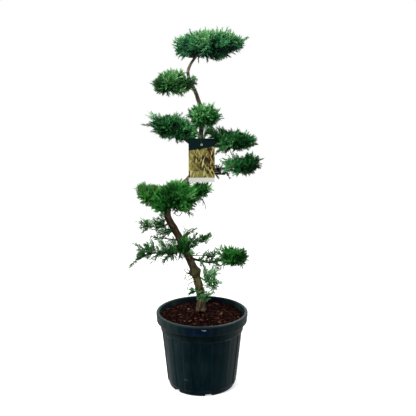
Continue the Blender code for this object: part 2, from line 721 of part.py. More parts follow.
def make_mass(name, paths, limbs, meshes, trunk_cutter, collection, chance):
    """One mass: a stem, a core where it is dense, branches along the stem, and a spray on each."""
    mass = MASSES[name]
    stem, radii = stem_path(name, paths)
    made = tube(name, stem, radii, STEM_SIDES, collection)
    if not isinstance(mass["carrier"], str):
        cut_clear(made, trunk_cutter)
    pieces = []
    if mass["core"]:
        pieces.append(make_core(mass, trunk_cutter, collection, chance))
    for root, end, edge in branch_rows(mass, stem):
        line = [root.lerp(end, (step + 1) / TEST_STEPS) for step in range(TEST_STEPS)]
        sunk = end - (edge - end) * SPRAY_SUNK
        length = (edge - sunk).length
        roll = chance.uniform(0, math.pi)
        blade = along(sunk, edge, SPRAY_WIDTH * length, SPRAY_THICKNESS * length, roll)
        if has_room(name, np.vstack([line, spray_points(blade)]), limbs):
            twig = along(root, end, TWIG_RADIUS, TWIG_RADIUS, roll)
            pieces.append(new_object("twig", meshes["twig"], collection, twig))
            pieces.append(new_object("spray", meshes["spray"], collection, blade))
    combine(made, pieces, "UNION", "MANIFOLD")
    return made


# Label

def make_card(collection):
    """A stiff card with one punched hole near its top edge."""
    bm = bmesh.new()
    bmesh.ops.create_cube(bm, size=1.0)
    bmesh.ops.scale(bm, vec=(CARD_WIDTH, CARD_THICKNESS, CARD_HEIGHT), verts=bm.verts)
    place = Matrix.Translation((0.0, CARD_Y, CARD_TOP - CARD_HEIGHT / 2))
    card = new_object("label_card", mesh_from("card", bm), collection, place)
    bm = bmesh.new()
    bmesh.ops.create_cone(bm, cap_ends=True, segments=CARD_HOLE_SIDES, radius1=CARD_HOLE_RADIUS,
                          radius2=CARD_HOLE_RADIUS, depth=PUNCH_LENGTH)
    upright = Matrix.Rotation(math.pi / 2, 4, "X")
    place = Matrix.Translation((0.0, CARD_Y, CARD_TOP - CARD_HOLE_DROP)) @ upright
    combine(card, [new_object("punch", mesh_from("punch", bm), collection, place)], "DIFFERENCE")
    return card


def string_path():
    """A loop that lies round the trunk and hangs down in front, through the card's hole."""
    middle, radius = trunk_at(LOOP_HEIGHT)
    ring = radius + STRING_RADIUS + CLEARANCE
    left, right = [], []
    for degrees, width, drop in LOOP_TURN:
        away = width * ring * math.cos(math.radians(degrees))
        spot = (middle.y + width * ring * math.sin(math.radians(degrees)), LOOP_HEIGHT - drop)
        left.append((middle.x + away, *spot))
        right.insert(0, (middle.x - away, *spot))
    hole_top = CARD_TOP - CARD_HOLE_DROP + CARD_HOLE_RADIUS - STRING_RADIUS - 3 * CLEARANCE
    through_hole = [
        (-STRAND_SIDE, CARD_Y + 0.006, CARD_TOP + 0.007),
        (-STRAND_SIDE, CARD_Y - 0.0035, CARD_TOP + 0.002),
        (-0.6 * STRAND_SIDE, CARD_Y - STRAND_OFF, CARD_TOP - 0.012),
        (0.0, CARD_Y - 0.0022, hole_top),
        (0.0, CARD_Y + 0.0022, hole_top),
        (0.6 * STRAND_SIDE, CARD_Y + STRAND_OFF, CARD_TOP - 0.012),
        (STRAND_SIDE, CARD_Y + 0.009, CARD_TOP + 0.002),
    ]
    route = [(middle.x, middle.y + ring, LOOP_HEIGHT), *left, *through_hole, *right]
    return smooth_path(route, STRING_POINTS, closed=True)


def make_string(collection):
    path = string_path()
    return tube("label_string", path, [STRING_RADIUS] * len(path), 4, collection, closed=True)


def finish(made, material):
    """Gives a piece its material, and smooth shading between its sharper edges."""
    made.data.materials.clear()
    made.data.materials.append(material)
    made.data.shade_smooth()
    made.data.set_sharp_from_angle(angle=math.radians(SMOOTH_BELOW_DEG))


def main():
    for leftover in list(bpy.data.objects):
        bpy.data.objects.remove(leftover)
    tree = bpy.data.collections.new("juniper_bonsai")
    bpy.context.scene.collection.children.link(tree)
    materials = make_materials()

    finish(make_pot(tree), materials["pot_plastic"])
    finish(make_mulch(tree), materials["bark_mulch"])
    finish(make_trunk("trunk", 0.0, tree), materials["juniper_bark"])
    trunk_cutter = make_trunk("trunk_cutter", CLEARANCE, tree)

    path = trunk_path()
    paths = {"trunk": (path, trunk_radii(path))}
    for name in BOUGHS:
        finish(make_bough(name, trunk_cutter, tree), materials["juniper_bark"])
        paths[name] = bough_path(name)

    string = string_path()
    limbs = [*paths.values(), (string, np.full(len(string), STRING_RADIUS))]
    meshes = {"spray": unit_spray(), "twig": unit_twig()}
    chance = random.Random(SEED)
    for name in MASSES:
        mass = make_mass(name, paths, limbs, meshes, trunk_cutter, tree, chance)
        finish(mass, materials["juniper_foliage"])
    bpy.data.objects.remove(trunk_cutter)

    finish(make_card(tree), materials["label_card"])
    finish(make_string(tree), materials["label_string"])


main()
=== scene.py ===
import math

import bpy
import numpy as np
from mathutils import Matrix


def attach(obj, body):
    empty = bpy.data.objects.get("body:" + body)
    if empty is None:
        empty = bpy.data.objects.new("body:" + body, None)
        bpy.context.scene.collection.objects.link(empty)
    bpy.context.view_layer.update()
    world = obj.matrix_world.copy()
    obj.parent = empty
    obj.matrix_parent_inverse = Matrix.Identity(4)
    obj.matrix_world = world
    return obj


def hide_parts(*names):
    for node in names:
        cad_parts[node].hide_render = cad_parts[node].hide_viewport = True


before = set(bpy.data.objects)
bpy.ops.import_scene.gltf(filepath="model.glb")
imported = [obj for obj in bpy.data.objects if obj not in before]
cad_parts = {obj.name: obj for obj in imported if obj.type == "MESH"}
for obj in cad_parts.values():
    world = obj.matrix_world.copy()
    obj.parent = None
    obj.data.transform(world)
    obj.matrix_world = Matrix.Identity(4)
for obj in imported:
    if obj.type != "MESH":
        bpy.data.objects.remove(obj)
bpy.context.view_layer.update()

# A juniper trained as a tall cloud-pruned bonsai, in its nursery pot of bark chips.
# Metres, +Z up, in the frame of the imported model, whose front looks along -Y.

print("frame loaded:", len(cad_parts), "nodes")

goldenAngle = math.pi * (3 - math.sqrt(5))
skyward = np.array([0, 0, 1.0])


# Vectors, noise and meshes

def unit(vectors):  # each vector over its own length
    return vectors / np.maximum(np.linalg.norm(vectors, axis=-1, keepdims=True), 1e-12)


def blended(ends, share):  # from the first of a pair to the second: first + (second - first) * share
    return ends[0] + (ends[1] - ends[0]) * share


def smoothStep(low, high, values):  # t*t*(3 - 2t), where t runs from 0 at low to 1 at high
    t = np.clip((values - low) / (high - low), 0, 1)
    return t * t * (3 - 2 * t)


noiseHash = dict(axes=(73856093, 19349663, 83492791), seed=83477, stir=668265263)  # large numbers mix well


# From -1 to 1: a number hashed from each corner of a point's cell, blended by smooth steps along the axes
def latticeNoise(points, cell, seed):
    spot = np.asarray(points, float) / cell
    corner = np.floor(spot).astype(np.int64)
    part = spot - corner
    blend = part * part * (3 - 2 * part)
    total = np.zeros(spot.shape[:-1])
    for step in np.ndindex(2, 2, 2):
        at = (corner + np.array(step)) * noiseHash["axes"]
        key = at[..., 0] ^ at[..., 1] ^ at[..., 2] ^ (seed * noiseHash["seed"])
        key = ((key ^ (key >> 15)) * noiseHash["stir"]) & 0xFFFFFFFF
        key ^= key >> 13
        total += ((key & 0xFFFF) / 32767.5 - 1) * np.prod(np.where(step, blend, 1 - blend), axis=-1)
    return total


# Two triangles for each cell of a grid of points numbered row by row, closed round its columns
def gridFaces(rows, columns):
    row = np.arange(rows - 1)[:, None] * columns
    here = np.arange(columns)[None, :]
    after = (here + 1) % columns
    a, b, c, d = row + here, row + after, row + columns + after, row + columns + here
    return np.concatenate([np.stack([a, b, c], -1).reshape(-1, 3), np.stack([a, c, d], -1).reshape(-1, 3)])


# A fan that closes a ring of points on the point at its middle, facing back along the rows or on along them
def fanFaces(first, columns, middle, backward):
    here = first + np.arange(columns)
    after = first + (np.arange(columns) + 1) % columns
    middles = np.full(columns, middle)
    return np.stack([middles, after, here] if backward else [middles, here, after], 1)


# The triangles of a tube of rings, closed at each end by a fan on one of two middles that follow the rings
def tubeFaces(rows, columns):
    return np.concatenate([gridFaces(rows, columns), fanFaces(0, columns, rows * columns, True),
                           fanFaces((rows - 1) * columns, columns, rows * columns + 1, False)])


def closedSkin(rings):  # rows of points round an axis, and the middles of the first and the last
    corners = np.concatenate([rings.reshape(-1, 3), rings[0].mean(0)[None], rings[-1].mean(0)[None]])
    return corners, tubeFaces(*rings.shape[:2])


# The same triangles once for each of many copies, each counted on past the corners of those before it
def repeated(faces, corners, copies):
    return (faces[None] + corners * np.arange(copies)[:, None, None]).reshape(-1, 3)


# One list of corners and one of triangles out of several, each counted on in the same way
def joined(parts):
    counts = np.cumsum([0] + [len(corners) for corners, faces in parts])
    return (np.concatenate([corners for corners, faces in parts]),
            np.concatenate([faces + count for (corners, faces), count in zip(parts, counts)]))


# An object in place of the given corners and triangles, with a material number for each triangle, and with
# attributes that hold a number or a vector for each corner
def makePiece(name, corners, faces, materials, numbers=None, smooth=True, attributes=None):
    mesh = bpy.data.meshes.new(name)
    mesh.vertices.add(len(corners))
    mesh.vertices.foreach_set("co", np.ascontiguousarray(corners, np.float32).ravel())
    mesh.loops.add(faces.size)
    mesh.loops.foreach_set("vertex_index", np.ascontiguousarray(faces, np.int32).ravel())
    mesh.polygons.add(len(faces))
    mesh.polygons.foreach_set("loop_start", np.arange(0, faces.size, 3, dtype=np.int32))
    mesh.polygons.foreach_set("use_smooth", np.full(len(faces), smooth))
    for material in materials:
        mesh.materials.append(material)
    if numbers is not None:
        mesh.polygons.foreach_set("material_index", numbers.astype(np.int32))
    for key, values in (attributes or {}).items():
        kind, field = ("FLOAT", "value") if values.ndim == 1 else ("FLOAT_VECTOR", "vector")
        mesh.attributes.new(key, kind, "POINT").data.foreach_set(field, values.astype(np.float32).ravel())
    mesh.update(calc_edges=True)
    mesh.validate()
    made = bpy.data.objects.new(name, mesh)
    bpy.context.scene.collection.objects.link(made)
    return made


def settle(made, nodes=()):  # rides on the plant's one body, and stands for the nodes named
    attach(made, "root")
    if nodes:
        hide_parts(*nodes)


# Points at the given shares of a path's length
def atShares(path, shares):
    run = np.concatenate([[0], np.cumsum(np.linalg.norm(np.diff(path, axis=0), axis=1))])
    return np.stack([np.interp(np.asarray(shares) * run[-1], run, path[:, axis]) for axis in range(3)], -1)


# Points of a Catmull-Rom curve through the given points, evenly spaced by length
def smoothPath(points, count, fineness=24):
    points = np.array(points, float)
    padded = np.vstack([2 * points[0] - points[1], points, 2 * points[-1] - points[-2]])
    t = np.linspace(0, 1, fineness, endpoint=False)[None, :, None]
    a, b, c, d = (padded[i:len(padded) - 3 + i, None] for i in range(4))
    runs = 0.5 * (2 * b + (c - a) * t + (2 * a - 5 * b + 4 * c - d) * t**2 + (3 * b - a - 3 * c + d) * t**3)
    return atShares(np.vstack([runs.reshape(-1, 3), points[-1:]]), np.linspace(0, 1, count))


# Values spread evenly along a path, read off at more or fewer points
def respaced(values, count):
    return np.interp(np.linspace(0, 1, count), np.linspace(0, 1, len(values)), values)


# For each way, two more at right angles to it and each other, so that side x up = way
def framesFor(ways, reference=None):
    if reference is None:
        reference = np.eye(3)[np.argmin(np.abs(ways), axis=-1)]
    up = unit(reference - ways * (reference * ways).sum(-1, keepdims=True))
    return np.cross(up, ways), up


def turned(side, up, angles):  # side cos a + up sin a
    return side * np.cos(angles)[..., None] + up * np.sin(angles)[..., None]


# Rings along a path: middle + radius * (side cos a + up sin a), with a radius for each ring and angle
def ringsAlong(path, radii, angles):
    ways = unit(np.gradient(path, axis=0))
    side, up = framesFor(ways, np.eye(3)[np.argmin(np.abs(path[-1] - path[0]))])
    return path[:, None] + radii[:, :, None] * turned(side[:, None], up[:, None], angles)


# Shader maths

class Flow:  # a value in a tree of nodes: sums written in Python add its Math nodes
    def __init__(self, sheet, socket):
        self.sheet, self.socket = sheet, socket

    def maths(self, operation, first, second):
        return self.sheet.node("ShaderNodeMath", dict(operation=operation), {0: first, 1: second})

    def __add__(self, other):
        return self.maths("ADD", self, other)

    def __sub__(self, other):
        return self.maths("SUBTRACT", self, other)

    def __rsub__(self, other):
        return self.maths("SUBTRACT", other, self)

    def __mul__(self, other):
        return self.maths("MULTIPLY", self, other)

    __radd__ = __add__
    __rmul__ = __mul__


class Sheet:  # the tree of nodes of a material or a world
    def __init__(self, owner):
        owner.use_nodes = True
        self.tree = owner.node_tree

    def join(self, value, socket):  # a flow is linked to the socket, and a constant is set on it
        if isinstance(value, Flow):
            self.tree.links.new(value.socket, socket)
        else:
            socket.default_value = value

    # A node of any type: its settings first, then values or links for its sockets, then the output wanted
    def node(self, kind, settings=None, sockets=None, out=0):
        made = self.tree.nodes.new(kind)
        for key, value in (settings or {}).items():
            setattr(made, key, value)
        for key, value in (sockets or {}).items():
            self.join(value, made.inputs[key])
        return Flow(self, made.outputs[out])

    def part(self, vector, axis):  # one of a vector's three numbers
        return self.node("ShaderNodeSeparateXYZ", None, {"Vector": vector}, axis)

    def vectorMaths(self, operation, first, second, out=0):
        return self.node("ShaderNodeVectorMath", dict(operation=operation), {0: first, 1: second}, out)


class Finish(Sheet):  # one material: constants set on its Principled shader, and nodes that feed it
    def __init__(self, name, **constants):
        self.material = bpy.data.materials.new(name)
        super().__init__(self.material)
        self.shader = self.tree.nodes["Principled BSDF"]
        for key, value in constants.items():
            self.feed(key.replace("_", " "), value)

    def feed(self, key, value):  # a value or link for one of the shader's own sockets
        self.join(value, self.shader.inputs[key])

    def place(self):  # a point of the piece, in metres
        return self.node("ShaderNodeTexCoord", out="Object")

    def stretched(self, point, scale):  # a point times a scale for each axis
        return self.vectorMaths("MULTIPLY", point, scale)

    def noise(self, point, scale, detail, rough, warp=0.0):  # cloudy, from 0 to 1 round a half
        sockets = {"Vector": point, "Scale": scale, "Detail": detail, "Roughness": rough, "Distortion": warp}
        return self.node("ShaderNodeTexNoise", None, sockets)

    # A smooth step, from the new low where the value is low or less to the new high where it is high or more
    def between(self, value, low, high, newLow=0.0, newHigh=1.0):
        sockets = {"Value": value, "From Min": low, "From Max": high, "To Min": newLow, "To Max": newHigh}
        return self.node("ShaderNodeMapRange", dict(interpolation_type="SMOOTHSTEP"), sockets)

    def mix(self, share, first, second):  # from the first colour to the second, by the share
        settings = dict(data_type="RGBA", blend_type="MIX")
        return self.node("ShaderNodeMix", settings, {0: share, 6: first, 7: second}, 2)

    def patch(self, point, middle, reach):  # 1 near the middle of an ellipsoid, fading to 0 at its skin
        away = self.vectorMaths("DIVIDE", self.vectorMaths("SUBTRACT", point, middle), reach)
        length = self.node("ShaderNodeVectorMath", dict(operation="LENGTH"), {0: away}, "Value")
        return self.between(length, 1.0, 0.4)

    def bump(self, height, strength, distance):  # normals tilted by the slopes of a height
        sockets = {"Height": height, "Strength": strength, "Distance": distance}
        return self.node("ShaderNodeBump", None, sockets)


# A colour as a painter reads it off a screen, from 0 to 255, made linear
def paint(red, green, blue):
    parts = np.array([red, green, blue]) / 255
    return (*np.where(parts < 0.04045, parts / 12.92, ((parts + 0.055) / 1.055) ** 2.4).tolist(), 1.0)


def plainFinish(name, tint, roughness):  # one plain colour
    finish = Finish(name, Roughness=roughness, Specular_IOR_Level=0.3)
    finish.feed("Base Color", paint(*tint))
    return finish.material


# Camera, light and floor

cameraLook = dict(place=(0.0315, -3.41, 1.66), downDeg=11.66, focalPixels=680.0, framePixels=416,
                  sensor=36.0)


def makeCamera():  # its focal length is measured in pixels of the photograph's frame
    lens = bpy.data.cameras.new("photoCamera")
    lens.sensor_width = cameraLook["sensor"]
    lens.lens = cameraLook["focalPixels"] / cameraLook["framePixels"] * cameraLook["sensor"]
    made = bpy.data.objects.new("photoCamera", lens)
    made.location = cameraLook["place"]
    made.rotation_euler = (math.radians(90 - cameraLook["downDeg"]), 0, 0)
    bpy.context.scene.collection.objects.link(made)
    bpy.context.scene.camera = made


lightLook = dict(
    aim=(0.0, 0.0, 1.0),
    lamps=[  # name, place, size in metres, watts
        ("key", (-1.7, -2.4, 3.9), 1.1, 150.0),
        ("fill", (2.6, -2.4, 1.7), 2.0, 10.0),
        ("rim", (0.8, 2.8, 2.9), 1.6, 40.0),
    ],
    sky=(0.20, 0.95),  # strength in front of the plant and behind it
    floorSize=24.0, floorColour=paint(247, 247, 246), floorGlow=0.50,
)


def makeLights():  # square lamps turned to the aim, and a studio sky
    for name, place, size, watts in lightLook["lamps"]:
        lamp = bpy.data.lights.new(name, "AREA")
        lamp.size = size
        lamp.energy = watts
        made = bpy.data.objects.new(name, lamp)
        made.location = place
        way = unit(np.array(place) - np.array(lightLook["aim"]))
        made.rotation_euler = (math.acos(way[2]), 0, math.atan2(way[0], -way[1]))
        bpy.context.scene.collection.objects.link(made)
    world = bpy.data.worlds.new("studio")
    bpy.context.scene.world = world
    studio = Sheet(world)
    backdrop = studio.tree.nodes["Background"].inputs
    backdrop["Color"].default_value = (1, 1, 1, 1)
    toward = studio.part(studio.node("ShaderNodeTexCoord", out="Generated"), "Y")  # -1 in front, 1 behind
    seen = studio.node("ShaderNodeLightPath", out="Is Camera Ray")  # the backdrop itself is seen pure white
    studio.join(seen + (1 - seen) * blended(lightLook["sky"], toward * 0.5 + 0.5), backdrop["Strength"])
    bpy.context.scene.view_settings.view_transform = "Standard"


def makeFloor():  # one pale square, left out of the pot's reflections
    half = lightLook["floorSize"] / 2
    corners = np.array([(-half, -half, 0), (half, -half, 0), (half, half, 0), (-half, half, 0)])
    finish = Finish("studioFloor", Roughness=0.9, Specular_IOR_Level=0.1,
                    Emission_Strength=lightLook["floorGlow"])
    finish.feed("Base Color", lightLook["floorColour"])
    floor = makePiece("studioFloor", corners, np.array([(0, 1, 2), (0, 2, 3)]), [finish.material])
    floor.visible_diffuse = floor.visible_glossy = False


makeCamera()
makeLights()
makeFloor()
print("camera, lights and floor made")


# Pot and soil

potShape = dict(
    outside=[(0.100, 0.0, 0.0), (0.1705, 0.0, 0.0020), (0.1765, 0.008, 0.0020), (0.1820, 0.030, 0.0040),
             (0.2100, 0.303, 0.0025), (0.2180, 0.311, 0.0030), (0.2215, 0.346, 0.0022),
             (0.2380, 0.354, 0.0035), (0.2415, 0.4000, 0.0030), (0.2380, 0.404, 0.0035)],
    inside=[(0.2257, 0.404, 0.0035), (0.2055, 0.303, 0.0080), (0.1766, 0.021, 0.0030), (0.080, 0.021, 0.0)],
    heel=(0.182, 0.030), neck=(0.210, 0.303), wall=0.0045, splay=0.20, lipTop=0.403, rowStep=0.006,
    ribs=12, ribHalf=0.022, ribProud=0.0028, ribFirstDeg=-51.5, ribFoot=(0.028, 0.032),
    ribHead=(0.309, 0.306), ribEdge=0.0007, ribColumns=13, gapColumns=13,
    notches=6, notchHalf=0.018, notchHeight=0.017, notchDepth=0.014, notchFirstDeg=-78.0, notchArc=0.178,
    notchRound=0.005, notchEdge=(0.0060, 0.0042), notchBeyond=0.15,
    barDeg=-115.6, barHeight=0.092, barHalf=(0.016, 0.0032), barProud=0.0012, barEdge=(0.0012, -0.0004),
    wobble=0.0004, wobbleCell=0.07, wobbleSeed=3, wobbleRadius=0.2,  # the lathe's unevenness
    # sideways reach over which the dust streaks, part painted sheen, grow towards the flanks
    flank=(0.10, 0.20),
    marks=[  # middle and reach of each mark (worn spots, and one painted reflection), how much it covers, and its tint
        ((0.0142, -0.2415, 0.3854), (0.012, 0.020, 0.0030), 0.9, (190, 196, 192)),
        ((0.0020, -0.2415, 0.3880), (0.007, 0.020, 0.0022), 0.6, (150, 160, 160)),
        ((-0.0810, -0.1720, 0.0920), (0.0190, 0.020, 0.0045), 0.8, (66, 82, 72)),
        # a painted blue reflection on the collar's front
        ((-0.0300, -0.2415, 0.3620), (0.060, 0.030, 0.0070), 0.5, (12, 34, 66)),
    ],
)


def bodyRadius(height):  # of the tapering wall: from its heel's to its neck's, in step with the height
    (heel, low), (neck, high) = potShape["heel"], potShape["neck"]
    return heel + (height - low) / (high - low) * (neck - heel)


def insideRadius(height):  # the same less the wall, and leaning out faster above the neck
    neck = potShape["neck"][1]
    return (bodyRadius(np.minimum(height, neck)) - potShape["wall"]
            + np.maximum(height - neck, 0) * potShape["splay"])


# A profile whose corners are rounded by quadratic curves, with rows never further apart than the step
def easedProfile(corners, step):
    points, eases = np.array(corners)[:, :2], [corner[2] for corner in corners]
    t = np.linspace(0, 1, 5)[:, None]
    eased = [points[:1]]
    for before, here, after, ease in zip(points, points[1:], points[2:], eases[1:]):
        start, end = here + unit(before - here) * ease, here + unit(after - here) * ease
        eased.append((1 - t)**2 * start + 2 * t * (1 - t) * here + t * t * end)
    eased = np.concatenate([*eased, points[-1:]])
    counts = [max(1, math.ceil(gap / step)) for gap in np.linalg.norm(np.diff(eased, axis=0), axis=1)]
    rows = [blended(ends, np.linspace(0, 1, count, False)[:, None])
            for ends, count in zip(zip(eased, eased[1:]), counts)]
    return np.concatenate([*rows, eased[-1:]])


# How far points lie round the pot from the nearest of some evenly spaced angles, as an arc length
def arcFrom(angle, radius, count, firstDeg):
    turn = 2 * math.pi / count
    off = angle - math.radians(firstDeg)
    return np.abs(off - np.round(off / turn) * turn) * radius


# The pot's skin: its profile turned about Z. Ribs, one raised bar and the foot's notches move it in or out by
# smooth steps of the arc's length from their middles, and columns crowd at the ribs' edges
def potSkin(shape):
    profile = easedProfile(shape["outside"] + shape["inside"], shape["rowStep"])
    radius, height = profile[:, :1], profile[:, 1:]
    wall = bodyRadius(np.clip(height, shape["heel"][1], shape["neck"][1]))
    near, far = shape["ribHalf"] - shape["ribEdge"], shape["ribHalf"] + shape["ribEdge"]
    half = math.pi / shape["ribs"]
    across = np.linspace(-1, 1, shape["ribColumns"])[None]
    gap = np.linspace(0, 1, shape["gapColumns"])[None]
    sector = np.concatenate([across * (near / wall), far / wall + 2 * (half - far / wall) * gap], 1)
    angle = np.concatenate([sector + 2 * half * index for index in range(shape["ribs"])], 1)
    angle += math.radians(shape["ribFirstDeg"])

    rib = smoothStep(far, near, arcFrom(angle, wall, shape["ribs"], shape["ribFirstDeg"]))
    rib = rib * smoothStep(*shape["ribFoot"], height) * smoothStep(*shape["ribHead"], height)
    arc = arcFrom(angle, shape["notchArc"], shape["notches"], shape["notchFirstDeg"])
    over = np.hypot(np.maximum(arc - shape["notchHalf"] + shape["notchRound"], 0),
                    np.maximum(height - shape["notchHeight"] + shape["notchRound"], 0))
    notch = smoothStep(*shape["notchEdge"], over) * (radius > shape["notchBeyond"])
    barArc = arcFrom(angle, wall, 1, shape["barDeg"]) - shape["barHalf"][0]
    bar = smoothStep(*shape["barEdge"],
                     np.maximum(barArc, np.abs(height - shape["barHeight"]) - shape["barHalf"][1]))
    moved = rib * shape["ribProud"] + bar * shape["barProud"] - notch * shape["notchDepth"]
    around = shape["wobbleRadius"]
    spots = np.broadcast_arrays(around * np.cos(angle), around * np.sin(angle), height)
    wobble = shape["wobble"] * latticeNoise(np.stack(spots, -1), shape["wobbleCell"], shape["wobbleSeed"])
    outside = np.arange(len(profile))[:, None] < np.argmax(profile[:, 1] > shape["lipTop"])
    radius = radius + (moved + wobble) * outside
    spots = np.broadcast_arrays(radius * np.cos(angle), radius * np.sin(angle), height)
    return closedSkin(np.stack(spots, -1))


# Dark teal plastic: broad cloudy wear, with a painted highlight that makes it paler towards the flanks, where
# dust streaks gather with painted sheen too; a painted reflection bluer on the collar's front; a painted
# highlight along the lip's top; a few scuffs, and one painted blue reflection among the marks
def potFinish(shape):
    finish = Finish("potPlastic", IOR=1.5, Specular_IOR_Level=0.065)
    place = finish.place()
    height = finish.part(place, "Z")
    side = finish.node("ShaderNodeMath", dict(operation="ABSOLUTE"), {0: finish.part(place, "X")})
    cloud = finish.noise(place, 9.0, 5.0, 0.6)
    streaks = finish.noise(finish.stretched(place, (34.0, 34.0, 5.0)), 1.0, 3.0, 0.6)
    body = finish.mix(finish.between(cloud, 0.35, 0.72), paint(0, 23, 30), paint(2, 33, 40))
    # painted highlight: paler towards the flanks, where the plastic catches light at a grazing angle
    body = finish.mix(finish.between(side, 0.05, 0.16, 0.0, 0.60), body, paint(26, 50, 54))
    # painted reflection: bluer on the collar's front, fading towards the flanks
    collar = finish.between(height, 0.345, 0.360) * finish.between(cloud, 0.30, 0.55)
    body = finish.mix(collar * finish.between(side, 0.14, 0.06), body, paint(2, 20, 40))
    # dust streaks, part real dust and part painted sheen, stronger towards the flanks
    dustAndSheen = finish.between(streaks, 0.44, 0.66) * finish.between(side, *shape["flank"], 0.10, 0.50)
    body = finish.mix(dustAndSheen, body, paint(66, 70, 54))
    # painted highlight along the lip's top edge
    body = finish.mix(finish.between(height, 0.394, 0.4035, 0.0, 0.55), body, paint(54, 70, 70))
    specks = finish.noise(place, 210.0, 2.0, 0.5)
    body = finish.mix(finish.between(specks, 0.74, 0.80, 0.0, 0.4), body, paint(120, 126, 122))
    for middle, reach, share, tint in shape["marks"]:
        body = finish.mix(finish.patch(place, middle, reach) * share, body, paint(*tint))
    finish.feed("Base Color", body)
    finish.feed("Roughness", finish.between(cloud, 0.3, 0.75, 0.24, 0.40) + dustAndSheen * 0.5)
    fine = finish.noise(place, 420.0, 3.0, 0.6)
    finish.feed("Normal", finish.bump(fine + streaks * 1.5, 0.12, 0.0012))
    return finish.material


potShell = makePiece("potShell", *potSkin(potShape), [potFinish(potShape)])
settle(potShell, ["pot"])
print("pot:", len(potShell.data.polygons), "triangles")


mulchShape = dict(
    edge=0.3725, crown=0.3800, flat=0.062, lumps=0.0022, lumpCell=0.017, lumpSeed=5, lumpFall=0.6,  # its top
    foot=0.0213, footRing=0.09, sideRows=(0.12, 0.22, 0.303, 0.340), edgeDrop=0.003, hub=0.02,
    sideClear=0.0004, edgeClear=0.0006, rings=44, columns=180,
    chips=3300, reach=0.2165, inward=0.006, turn=0.06, within=0.2215, trunkFoot=(-0.0065, 0.020),
    trunkClear=0.021, size=((0.011, 0.036), (0.006, 0.016), (0.0022, 0.0060)), sizePower=1.7,
    skew=(-0.38, 0.30), tiltDeg=13.0, sink=0.30, lift=(-0.001, 0.0045), seed=31,
    tints=[((19, 5, 4), 0.36), ((33, 11, 8), 0.27), ((56, 24, 18), 0.17), ((84, 44, 31), 0.10),
           ((11, 5, 4), 0.08), ((108, 70, 52), 0.018), ((150, 114, 88), 0.006)],  # each with its share
    pale=[(0.116, -0.014, 0.024), (-0.075, -0.143, 0.012)],  # middle and radius of spots of paler chips
    paleShare=0.45, paleFrom=3,
)


# Height of the bed: a low straight-sided mound, flat in the middle, less a little, and uneven by noise
def bedHeight(x, y):
    radius, shape = np.hypot(x, y), mulchShape
    share = np.clip((radius - shape["flat"]) / (insideRadius(shape["edge"]) - shape["flat"]), 0, 1)
    uneven = latticeNoise(np.stack([x, y, 0 * x], -1), shape["lumpCell"], shape["lumpSeed"])
    return blended((shape["crown"], shape["edge"]), share) + shape["lumps"] * (uneven - shape["lumpFall"])


def bedSkin(shape):  # the space inside the pot up to that height, as rings about Z
    angle = np.linspace(0, 2 * math.pi, shape["columns"], endpoint=False)[None]
    walls = np.array([shape["foot"], *shape["sideRows"], shape["edge"] - shape["edgeDrop"]])[:, None]
    sides = insideRadius(walls) - shape["sideClear"]
    rings = [np.stack(np.broadcast_arrays(r * np.cos(angle), r * np.sin(angle), z), -1)
             for r, z in ((shape["footRing"], shape["foot"]), (sides, walls))]
    reach = insideRadius(shape["edge"]) - shape["edgeClear"]
    radius = reach * np.linspace(1, shape["hub"], shape["rings"])[:, None]
    x, y = radius * np.cos(angle), radius * np.sin(angle)
    rings.append(np.stack([x, y, bedHeight(x, y)], -1))
    return closedSkin(np.concatenate([ring.reshape(-1, shape["columns"], 3) for ring in rings]))


# Chips: flat blocks with skewed corners, on a sunflower spiral, each turned, tilted, and sunk a little
def chipSkins(shape):
    rng = np.random.default_rng(shape["seed"])
    count = shape["chips"]
    index = np.arange(count)
    radius = shape["reach"] * np.sqrt((index + 0.5) / count) - rng.uniform(0, shape["inward"], count)
    angle = index * goldenAngle + rng.uniform(-shape["turn"], shape["turn"], count)
    size = np.stack([blended(ends, rng.random(count)**shape["sizePower"]) for ends in shape["size"]], 1)
    radius = np.minimum(radius, shape["within"] - size[:, 0] * 0.5)
    x, y = radius * np.cos(angle), radius * np.sin(angle)
    away = np.hypot(x - shape["trunkFoot"][0], y - shape["trunkFoot"][1])
    keep = away > shape["trunkClear"]
    x, y, size, count = x[keep], y[keep], size[keep], int(keep.sum())
    corner = np.array([(a, b, c) for c in (-1, 1) for b in (-1, 1) for a in (-1, 1)]) * 0.5
    local = corner * size[:, None] * (1 + rng.uniform(*shape["skew"], (count, 8, 3)))
    turn = rng.uniform(0, 2 * math.pi, count)
    tilt, roll = np.radians(shape["tiltDeg"]) * rng.normal(0, 1, (2, count))
    long = np.stack([np.cos(turn) * np.cos(tilt), np.sin(turn) * np.cos(tilt), np.sin(tilt)], 1)
    wide = unit(np.cross(skyward, long)) * np.cos(roll)[:, None]
    wide = unit(wide + skyward * np.sin(roll)[:, None])
    high = np.cross(long, wide)
    frames = np.stack([long, np.cross(high, long), high], 1)
    z = bedHeight(x, y) + size[:, 2] * (0.5 - shape["sink"]) + rng.uniform(*shape["lift"], count)
    corners = np.stack([x, y, z], 1)[:, None] + np.einsum("nkc,ncd->nkd", local, frames)
    block = np.array([(0, 2, 3), (0, 3, 1), (4, 5, 7), (4, 7, 6), (0, 1, 5), (0, 5, 4),
                      (2, 6, 7), (2, 7, 3), (0, 4, 6), (0, 6, 2), (1, 3, 7), (1, 7, 5)])
    share = np.array([weight for tint, weight in shape["tints"]])
    tint = rng.choice(len(share), count, p=share / sum(share))
    for middleX, middleY, patch in shape["pale"]:
        near = (np.hypot(x - middleX, y - middleY) < patch) & (rng.random(count) < shape["paleShare"])
        tint = np.where(near, rng.integers(shape["paleFrom"], len(share), count), tint)
    return corners.reshape(-1, 3), repeated(block, 8, count), np.repeat(tint, len(block))


def bedFinish():  # fine dark crumbs between the chips
    finish = Finish("mulchBed", Roughness=0.96, Specular_IOR_Level=0.02)
    crumbs = finish.noise(finish.place(), 190.0, 5.0, 0.65)
    body = finish.mix(finish.between(crumbs, 0.4, 0.75), paint(10, 4, 3), paint(40, 18, 14))
    finish.feed("Base Color", body)
    finish.feed("Normal", finish.bump(crumbs, 0.7, 0.003))
    return finish.material


